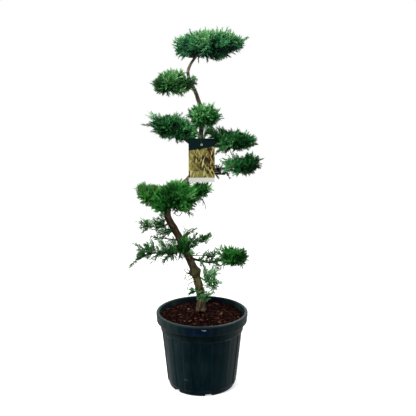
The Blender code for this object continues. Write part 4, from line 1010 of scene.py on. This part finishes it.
# Loose sprays beyond a mass's edge, in millimetres: where each bundle starts and ends, its twigs, and how far
# their ends scatter
looseSprays = dict(
    main_front_pad=[
        (-87, -120, 1006, -58, -120, 956, 6, 11), (-77, -120, 1011, -43, -120, 981, 5, 10),
        (-117, -110, 989, -127, -110, 964, 3, 8)],
    main_right_pad=[
        (-29, -30, 1024, -14, -30, 988, 2, 6)],
    left_wisp_far=[
        (-276, -20, 866, -306, -20, 893, 4, 10), (-276, -20, 856, -302, -20, 840, 4, 9)],
    left_wisp_near=[
        (-183, -30, 863, -243, -30, 905, 5, 11), (-183, -30, 858, -234, -30, 848, 4, 8),
        (-193, -30, 890, -203, -30, 921, 3, 8), (-165, -30, 850, -225, -30, 835, 7, 12),
        (-150, -30, 845, -185, -30, 824, 7, 11)],
    right_wisp=[
        (-97, -10, 779, -71, -10, 838, 9, 13), (-10, 0, 782, 42, 0, 803, 6, 9),
        (0, 10, 785, 42, 10, 817, 4, 7), (-82, -10, 747, -36, -10, 758, 9, 10),
        (-77, -10, 715, -46, -10, 715, 3, 7), (-98, 10, 795, -41, 10, 838, 6, 10)],
    left_spray_far=[
        (-317, 0, 696, -370, 0, 648, 5, 5), (-280, 0, 734, -341, 0, 761, 3, 6)],
    left_spray_near=[
        (-215, -40, 734, -246, -40, 692, 6, 12), (-163, -40, 729, -190, -40, 686, 8, 12),
        (-113, -20, 750, -118, -20, 702, 8, 11), (-154, -30, 731, -149, -30, 694, 5, 10),
        (-246, -30, 758, -256, -30, 790, 5, 10), (-185, -20, 750, -215, -20, 782, 6, 10),
        (-134, -10, 753, -149, -10, 785, 5, 9)],
    right_low_wisp=[
        (-10, -10, 678, 21, -10, 726, 5, 9), (21, -20, 670, 37, -20, 713, 5, 9),
        (42, -10, 672, 68, -10, 726, 7, 11), (52, -20, 680, 88, -20, 654, 6, 10),
        (-5, -10, 678, 6, -10, 645, 4, 8)],
    right_low_pad=[
        (187, -20, 697, 203, -20, 648, 3, 6), (130, -20, 716, 104, -20, 752, 6, 12),
        (114, -20, 706, 78, -20, 734, 7, 13), (132, -20, 700, 92, -20, 694, 7, 13),
        (136, -20, 690, 112, -20, 662, 6, 12)],
    low_tuft=[
        (21, -10, 569, 9, -10, 610, 5, 14), (47, -10, 586, 60, -10, 620, 6, 16),
        (52, -10, 558, 84, -10, 569, 6, 9), (12, -10, 600, 30, -10, 632, 4, 16),
        (52, -10, 600, 78, -10, 614, 4, 12), (50, 0, 585, 45, 0, 630, 4, 14),
        (42, -10, 553, 73, -10, 525, 6, 10)],
    foot_tuft_front=[
        (5, -30, 488, 47, -30, 516, 7, 9)],
    foot_tuft_left=[
        (-26, -20, 518, -63, -20, 512, 7, 9)],
    centre_pad=[
        (2, -30, 1303, 27, -30, 1357, 5, 12), (-8, -30, 1308, -33, -30, 1362, 4, 8),
        (12, -30, 1335, 50, -30, 1350, 6, 12)],
    right_middle_pad=[
        (122, 10, 1273, 77, 10, 1268, 9, 11), (122, 10, 1324, 82, 10, 1359, 5, 9),
        (142, 0, 1269, 122, 0, 1239, 6, 12), (110, 0, 1268, 80, 0, 1250, 6, 10)],
    right_lower_pad=[
        (161, -40, 1184, 111, -40, 1209, 6, 12), (171, -40, 1204, 141, -40, 1234, 4, 10)],
    right_lower_twigs=[
        (52, -20, 1166, 77, -20, 1125, 5, 10), (112, -20, 1166, 127, -20, 1130, 5, 10)],
    left_middle_pad=[
        (-69, 0, 1325, -104, 0, 1300, 3, 5), (-218, 0, 1394, -262, 0, 1429, 2, 6),
        (-248, 0, 1380, -288, 0, 1380, 3, 3)],
    high_side_tuft=[
        (-47, -10, 1581, -37, -10, 1610, 4, 7)],
    crown_pad=[
        (-115, 0, 1773, -129, 0, 1778, 2, 7), (187, 0, 1783, 217, 0, 1797, 3, 4),
        (61, 0, 1735, 71, 0, 1711, 4, 8)],
)
bareTwigs = dict(  # dead or leafless, and one curled
    radius=(0.0028, 0.0016), wander=0.005, points=24, sides=5, seed=40,
    paths=[
        [(-0.029, -0.04, 1.006), (-0.004, -0.04, 1.006), (0.011, -0.04, 0.99), (0.021, -0.04, 0.959)],
        [(-0.019, -0.03, 1.009), (0.006, -0.03, 1.009), (0.006, -0.03, 0.973)],
        [(-0.145, -0.06, 0.974), (-0.109, -0.06, 0.964), (-0.094, -0.06, 0.948), (-0.11, -0.06, 0.927),
         (-0.13, -0.06, 0.933), (-0.135, -0.06, 0.953), (-0.119, -0.06, 0.958)],
        [(-0.038, 0.0, 0.612), (-0.073, -0.01, 0.629), (-0.078, -0.01, 0.651)],
        [(-0.034, 0.0, 0.594), (-0.078, -0.02, 0.61), (-0.093, -0.02, 0.578)],
        [(-0.036, -0.002, 0.602), (-0.083, -0.02, 0.621), (-0.093, -0.02, 0.643)],
        [(-0.030, 0.0, 0.592), (-0.073, -0.02, 0.578), (-0.088, -0.02, 0.594)],
        [(-0.025, 0.0, 0.570), (-0.067, -0.02, 0.556), (-0.078, -0.02, 0.523)],
        [(-0.036, -0.004, 0.606), (-0.067, -0.03, 0.603), (-0.072, -0.03, 0.586)],
    ],
)


def spiralDirections(count, lowest):  # evenly spread by the golden angle, from straight up down to the lowest
    index = np.arange(count)
    height = 1 - (1 - lowest) * (index + 0.5) / count
    across = np.sqrt(np.clip(1 - height * height, 0, 1))
    return np.stack([across * np.cos(index * goldenAngle), across * np.sin(index * goldenAngle), height], 1)


def bowed(starts, middles, ends, count):  # quadratic curves, one row of points each
    t = np.linspace(0, 1, count)[None, :, None]
    return (1 - t)**2 * starts[:, None] + 2 * t * (1 - t) * middles[:, None] + t * t * ends[:, None]


# Many thin tubes at once, tapering alike: rings on each path, in a frame built on the axis that its run
# avoids most
def thinTubes(paths, radii, sides):
    count, rings = paths.shape[:2]
    avoid = np.eye(3)[np.argmin(np.abs(paths[:, -1] - paths[:, 0]), axis=1)][:, None]
    side, up = framesFor(unit(np.gradient(paths, axis=1)), avoid)
    around = turned(side[:, :, None], up[:, :, None], np.arange(sides) * 2 * math.pi / sides)
    skins = paths[:, :, None] + np.linspace(*radii, rings)[:, None, None] * around
    corners = np.concatenate([skins.reshape(count, -1, 3), paths[:, :1], paths[:, -1:]], 1)
    return corners.reshape(-1, 3), repeated(tubeFaces(rings, sides), corners.shape[1], count)


# A plume one long up +Z: four-sided needles, one along its axis, the rest leaning out of it by turns to
# either side, shorter towards the tip
def plumeTemplate(rng, widths):
    look, count = plumeShape, plumeShape["needles"]
    spot = np.append(0, np.linspace(*look["spots"], count - 1))
    lean = np.radians(rng.uniform(*look["leanDeg"], count))
    lean[0] = 0
    turn = math.pi * np.arange(count) + rng.normal(0, look["turn"], count) + rng.uniform(0, math.pi)
    way = np.stack([np.sin(lean) * np.cos(turn), np.sin(lean) * np.sin(turn), np.cos(lean)], 1)
    length = blended(look["length"], spot) * rng.uniform(*look["vary"], count)
    length[0] = 1
    side, up = framesFor(way)
    ring = turned(side[:, None], up[:, None], np.arange(3) * 2 * math.pi / 3)
    base = spot[:, None] * skyward
    corners = np.concatenate([base[:, None] + ring * np.where(spot == 0, *widths)[:, None, None],
                              (base + way * length[:, None])[:, None]], 1).reshape(-1, 3)
    corners[:, :2] += corners[:, 2:]**2 * rng.uniform(-look["curl"], look["curl"], 2)
    return corners, repeated(np.array([(0, 2, 1), (0, 1, 3), (1, 2, 3), (2, 0, 3)]), 4, count)


# How much the edge gains towards each direction: eased between the angles listed, in the plane seen from the
# front, and fading towards the sides which face to and fro
def bumpOf(name, directions):
    gains = np.array(edgeGains.get(name, [0])) / 100
    spot = np.degrees(np.arctan2(directions[:, 2], directions[:, 0])) % 360 / (360 / len(gains))
    here = spot.astype(int)
    gain = blended((gains[here % len(gains)], gains[(here + 1) % len(gains)]), smoothStep(0, 1, spot - here))
    return gain * np.hypot(directions[:, 0], directions[:, 2])


# Limbs and twigs of one mass, by its rule: limbs leave the stem towards evenly spread points of the edge, and
# from the nearest of them a twig runs to each tuft. Dense masses keep most tufts near the edge, open ones
# do not
def growMass(name, rng):
    mass, look = masses[name], sprayShape
    dense = mass["core"] > 0
    kind = sprayKinds["dense" if dense else "open"]
    stem, heart = stems[name][0], heartOf(mass)
    if mass["carrier"] == "trunk":
        stem = np.vstack([trunkLine[-2:], stem])
    onward = unit(stem[-1] - stem[0])
    lobeWay = spiralDirections(mass["branches"], kind["lowest"])
    roots = atShares(stem, look["leaveMiddle"] + look["leaveSpread"] * lobeWay @ onward)
    ends = roots + (edgePoints(mass, lobeWay) - roots) * kind["limbRun"]
    sag = look["limbSag"] * np.linalg.norm(ends - roots, axis=1)[:, None] * skyward
    wander = look["limbWander"] * rng.normal(0, 1, roots.shape)
    limbs = bowed(roots, (roots + ends) / 2 - sag + wander, ends, look["limbRings"])

    tufts = int(mass["tufts"] * kind["tufts"])
    directions = spiralDirections(tufts, kind["lowest"]) + rng.normal(0, look["turnScatter"], (tufts, 3))
    directions = unit(directions)
    ragged = 1 + look["ragged"] * latticeNoise(directions, look["raggedCell"], sum(map(ord, name)))
    ragged += bumpOf(name, directions)
    facing = directions @ lobeWay.T
    lobe = np.argmax(facing, axis=1)
    across = math.sqrt(2 * (1 - kind["lowest"]) / mass["branches"])
    apart = np.arccos(np.clip(facing.max(1), -1, 1)) / across
    lobeSize = rng.uniform(*look["lobeReach"], mass["branches"])[lobe] * (1 - look["lobeDip"] * apart**2)
    glow = look["lobeLight"] * rng.normal(0, 1, mass["branches"])[lobe]
    glow = glow + rng.normal(0, look["tuftLight"], tufts) + mass["glow"]
    outer = rng.random(tufts) < look["outer"]
    share = np.where(outer, rng.uniform(*look["outerShare"], tufts), rng.uniform(*look["innerShare"], tufts))
    if not dense:
        share = rng.uniform(*look["openShare"], tufts)
    share = share * ragged * lobeSize + rng.normal(0, look["scatter"], tufts)
    if dense:
        stray = rng.random(tufts) < look["strays"]
        share = np.where(stray, share * rng.uniform(*look["strayShare"], tufts), share)
    run = edgePoints(mass, directions) - heart
    tops = heart + run * np.minimum(share, look["furthest"])[:, None]
    longest = look["plumeLength"][1]
    plumeSize = np.minimum(1, look["plumeOfReach"] * np.linalg.norm(run, axis=1) / longest) * kind["size"]
    scatter = rng.normal(0, look["outwardScatter"], (tufts, 3))
    outward = unit(unit(tops - heart) + look["lift"] * skyward + scatter)
    if not dense:
        outward = unit(outward + look["openOnward"] * onward)
    tips = tops - outward * (plumeSize * look["tipBack"] * longest)[:, None]
    knots = limbs[:, 1:].reshape(-1, 3)
    gaps = np.linalg.norm(tips[:, None] - knots[None], axis=2)
    starts = knots[np.argmin(gaps, axis=1)]
    run = gaps.min(1)[:, None]
    middles = (starts + tips) / 2 - outward * look["twigBow"] * run
    middles = middles + rng.normal(0, look["twigWander"], tips.shape) * run
    return limbs, bowed(starts, middles, tips, look["twigRings"]), outward, plumeSize, glow


# Side twigs along the outer part of a bough: each leaves it at random, outward and on, to a tuft of its own
def growAlong(name, rng):
    look, count = sideShape, boughTufts[name][0]
    path = smoothPath(boughs[name][0], look["points"])
    share = rng.uniform(*boughTufts[name][1], count)
    starts = atShares(path, share)
    before, after = share - look["reach"], np.minimum(share + look["reach"], 1)
    onward = unit(atShares(path, after) - atShares(path, before))
    off = rng.normal(0, 1, (count, 3)) + skyward * look["up"]
    outward = unit(unit(off - onward * (off * onward).sum(1, keepdims=True)) + look["onward"] * onward)
    run = rng.uniform(*look["run"], count)[:, None]
    tips = starts + outward * run
    middles = (starts + tips) / 2 + look["bow"] * run * (onward - outward * look["bowBack"])
    return tuftsOn(starts, middles, tips, outward, rng)


# Twigs between the scattered ends of each bundle, bowed at random by a share of their length
def growLoose(name, rng):
    look, rows = sideShape, np.array(looseSprays[name])
    starts, ends, spread = (np.repeat(part, rows[:, 6], axis=0) / 1000
                            for part in (rows[:, :3], rows[:, 3:6], rows[:, 7:]))
    starts = starts + look["startScatter"] * spread * rng.normal(0, 1, starts.shape)
    ends = ends + look["endScatter"] * spread * rng.normal(0, 1, ends.shape)
    run = np.linalg.norm(ends - starts, axis=1)[:, None]
    middles = (starts + ends) / 2 + look["sway"] * run * rng.normal(0, 1, ends.shape)
    return tuftsOn(starts, middles, ends, unit(ends - middles), rng)


def tuftsOn(starts, middles, ends, outward, rng):  # twigs, with the way, size and glow of the tuft on each
    look, count = sideShape, len(ends)
    twigs = bowed(starts, middles, ends, sprayShape["twigRings"])
    return twigs, outward, rng.uniform(*look["size"], count), rng.normal(*look["light"], count)


# Plumes of one mass: round each twig, or the outer half of a dense mass's, by the golden angle, fanned wider
# the further they sit from its tip, turned a little up, cut short at the edge of the space, and left out
# where something stands. Their painted light, which picks their tints from dark to light, grows towards the
# edge, with painted shade deep inside, and with their upward turn and with their height
def dressMass(name, rng, twigs, outward, plumeSize, glow, onBough=False):
    mass, look = masses[name], dressShape
    dense = mass["core"] > 0 and not onBough
    kind = sprayKinds["dense" if dense else "open"]
    tufts, each, inner = len(twigs), kind["plumes"], kind["along"]
    spot = np.linspace(1, inner, each)[None] - rng.uniform(0, look["jitter"], (tufts, each))
    last = np.clip(spot * (twigs.shape[1] - 1), 0, twigs.shape[1] - 1.001)
    row, low = np.arange(tufts)[:, None], last.astype(int)
    part = (last - low)[..., None]
    base = (twigs[row, low] * (1 - part) + twigs[row, low + 1] * part).reshape(-1, 3)
    share = np.clip((1 - spot) / (1 - inner), 0, 1)**look["fanPower"]
    fan = np.radians(blended((look["fanFrom"], kind["fan"]), share))
    fan = fan + rng.normal(0, look["fanScatter"], fan.shape)
    turn = goldenAngle * np.arange(each)[None] + rng.uniform(0, 2 * math.pi, (tufts, 1))
    side, up = framesFor(outward)
    way = turned(outward[:, None], turned(side[:, None], up[:, None], turn), fan)
    way = unit(way + skyward * sprayShape["lift"] * look["liftShare"]).reshape(-1, 3)
    plumeSize = np.repeat(plumeSize, each)
    length = blended(sprayShape["plumeLength"], rng.random(tufts * each)) * plumeSize
    depthBase, depthTip = spaceDepth(mass, base), spaceDepth(mass, base + way * length[:, None])
    if dense:
        room = (look["limit"] - depthBase) / np.maximum(depthTip - depthBase, 1e-6)
        length = np.where(depthTip > look["limit"], length * np.clip(room, 0, 1), length)
    tip = base + way * length[:, None]
    middle = (tip + base) / 2

    keep = length > look["shortest"] * sprayShape["plumeLength"][0] * plumeSize
    for point in (tip, middle):
        keep &= (trunkGap(point) > look["limbClear"]) & ~atCard(point)
    if dense:
        keep &= ~underWood(name, middle)
    own = spaceDepth(mass, tip)
    for other in masses:
        if other != name and not onBough:
            theirs = spaceDepth(masses[other], tip)
            keep &= ~((theirs < look["neighbour"]) & (theirs < own - look["neighbourLead"]))

    # painted light and shade: darker deep in the mass, lighter towards its edge, facing up and higher up,
    # with random tone and cloudy noise on top
    start, end = look["lightDepth"]
    depth = np.clip((spaceDepth(mass, middle) - start) / (end - start), 0, 1)
    depth = depth if dense else blended(look["openDepth"], depth)
    rise = (base[:, 2] - mass["centre"][2]) / mass["reach"][2]
    light = look["deepLight"] * depth + look["upLight"] * way[:, 2] + look["highLight"] * rise
    light = light + rng.normal(0, look["lightScatter"], len(depth)) + np.repeat(glow, each)
    light = light + look["cloudLight"] * latticeNoise(base, look["cloudCell"], look["cloudSeed"])
    return base[keep], way[keep], length[keep], light[keep]


# True beneath the wood that carries a mass and close to it, where its limbs show: under its bough and half
# its stem
def underWood(name, points):
    carrier, wood = masses[name]["carrier"], stems[name][0][:3]
    if carrier in boughs:
        wood = np.vstack([boughs[carrier][0], wood])
    fine = atShares(wood, np.linspace(0, 1, dressShape["hollowPoints"]))
    away = points[:, None] - fine[None]
    near = np.argmin(np.linalg.norm(away, axis=2), axis=1)
    off = away[np.arange(len(points)), near]
    reach = dressShape["crownHollow" if carrier == "trunk" else "hollow"]
    return (np.linalg.norm(off, axis=1) < reach) & (off[:, 2] < dressShape["hollowTop"])


def trunkGap(points):  # the least distance from each point to a middle of the trunk, less the radius there
    fine = smoothPath(trunkShape["bends"], trunkShape["gapPoints"])
    gap = np.full(len(points), 1.0)
    for middle, radius in zip(fine, radiusAt(fine[:, 2])):
        gap = np.minimum(gap, np.linalg.norm(points - middle, axis=1) - radius)
    return gap


def atCard(points):  # inside the label's card grown by its clearance, or in front of it
    x, y, z = (points - [0, cardShape["y"], cardShape["top"] - cardShape["height"] / 2]).T
    spare = dressShape["cardClear"]
    within = (np.abs(x) < cardShape["width"] / 2 + spare) & (np.abs(z) < cardShape["height"] / 2 + spare)
    return within & (y < spare)


# Plumes laid out in space: each template's corners, times the length, in a frame on the plume's own
# direction. The second half of the templates is for the smallest
def plumeSkins(base, way, length, templates, rng):
    half = len(templates) // 2
    pick = np.arange(len(base)) % half + half * (length < plumeShape["smallest"])
    side = turned(*framesFor(way), rng.uniform(0, 2 * math.pi, len(base)))
    frames = np.stack([side, np.cross(way, side), way], 1) * length[:, None, None]
    parts, order = [], []
    for index, (corners, faces) in enumerate(templates):
        chosen = np.flatnonzero(pick == index)
        placed = base[chosen, None] + np.einsum("kc,ncd->nkd", corners, frames[chosen])
        parts.append((placed.reshape(-1, 3), repeated(faces, len(corners), len(chosen))))
        order.append(np.repeat(chosen, len(faces)))
    return *joined(parts), np.concatenate(order)


rng = np.random.default_rng(plumeShape["seed"])
templates = [plumeTemplate(rng, widths) for widths in plumeShape["widths"]
             for index in range(plumeShape["templates"])]
greens = {key: [plainFinish(f"{key}Green{index}", tint, 0.62) for index, tint in enumerate(tints)]
          for key, tints in palettes.items()}
rusts = [plainFinish(f"rustySpray{index}", tint, 0.75) for index, tint in enumerate(rustShape["tints"])]
sprayPieces = dict(
    crownSprays=["crown_pad"],
    highSprays=["left_high_pad", "high_side_tuft", "centre_pad"],
    middleSprays=["left_middle_pad", "right_middle_pad"],
    lowerSprays=["right_lower_pad", "right_lower_twigs", "main_right_pad", "main_left_pad"],
    mainSprays=["main_front_pad", "main_back_pad"],
    leftWispSprays=["left_wisp_far", "left_wisp_near", "left_spray_near", "left_spray_far", "left_spray_top",
                    "trunk_clump"],
    rightWispSprays=["right_wisp", "right_low_pad", "right_low_wisp", "low_tuft", "foot_tuft_left",
                     "foot_tuft_front"],
)
upperFrom = 1.1  # twigs of masses whose centre is higher make the upper piece
twigParts = dict(upperTwigs=[], lowerTwigs=[])


def twigTubes(twigs):  # tubes that taper as every leafy twig does
    return thinTubes(twigs, sprayShape["twigRadius"], sprayShape["twigSides"])


for pieceName, names in sprayPieces.items():
    rows, tints, used = [], [], []
    for name in names:
        mass = masses[name]
        rng = np.random.default_rng([mass["seed"], list(masses).index(name)])
        parts = twigParts["upperTwigs" if mass["centre"][2] > upperFrom else "lowerTwigs"]
        limbs, *grown = growMass(name, rng)
        limbRadius = sprayKinds["dense" if mass["core"] else "open"]["limbRadius"]
        parts += [thinTubes(limbs, limbRadius, sprayShape["limbSides"]), twigTubes(grown[0])]
        plumes = [dressMass(name, rng, *grown)]
        for grow, table, key in ((growAlong, boughTufts, mass["carrier"]), (growLoose, looseSprays, name)):
            if key in table:
                grown = grow(key, rng)
                parts.append(twigTubes(grown[0]))
                plumes.append(dressMass(name, rng, *grown, onBough=True))
        base, way, length, light = (np.concatenate(part) for part in zip(*plumes))
        if mass["palette"] not in used:
            used.append(mass["palette"])
        # each plume's tint, from dark to light, by its painted light
        tint = 5 * used.index(mass["palette"]) + np.clip((light * 5).astype(int), 0, 4)
        if mass["palette"] == "rusty":
            scatter = rustShape["scatter"] * rng.normal(0, 1, len(base))
            rusty = latticeNoise(base, rustShape["cell"], rustShape["seed"]) + scatter > rustShape["over"]
            tint = np.where(rusty, rustShape["number"] + (rng.random(len(base)) < 0.5), tint)
        rows.append((base, way, length))
        tints.append(tint)
    base, way, length = (np.concatenate(part) for part in zip(*rows))
    tint = np.concatenate(tints)
    materials = [green for key in used for green in greens[key]]
    rusty = tint >= rustShape["number"]  # rusty tints are numbered on past the greens once those are counted
    if rusty.any():
        tint = np.where(rusty, tint - rustShape["number"] + len(materials), tint)
        materials += rusts
    corners, faces, order = plumeSkins(base, way, length, templates, rng)
    sprays = makePiece(pieceName, corners, faces, materials, tint[order], smooth=False)
    settle(sprays, names)
    print(pieceName + ":", len(base), "plumes,", len(faces), "triangles")

bareLines = [wandered(smoothPath(path, bareTwigs["points"]), bareTwigs["wander"], bareTwigs["seed"] + index)
             for index, path in enumerate(bareTwigs["paths"])]
twigParts["lowerTwigs"].append(thinTubes(np.array(bareLines), bareTwigs["radius"], bareTwigs["sides"]))
for pieceName, parts in twigParts.items():
    corners, faces = joined(parts)
    twigs = makePiece(pieceName, corners, faces, [plainFinish(pieceName[:-1], (58, 46, 34), 0.9)])
    settle(twigs)
    print(pieceName + ":", len(faces), "triangles")
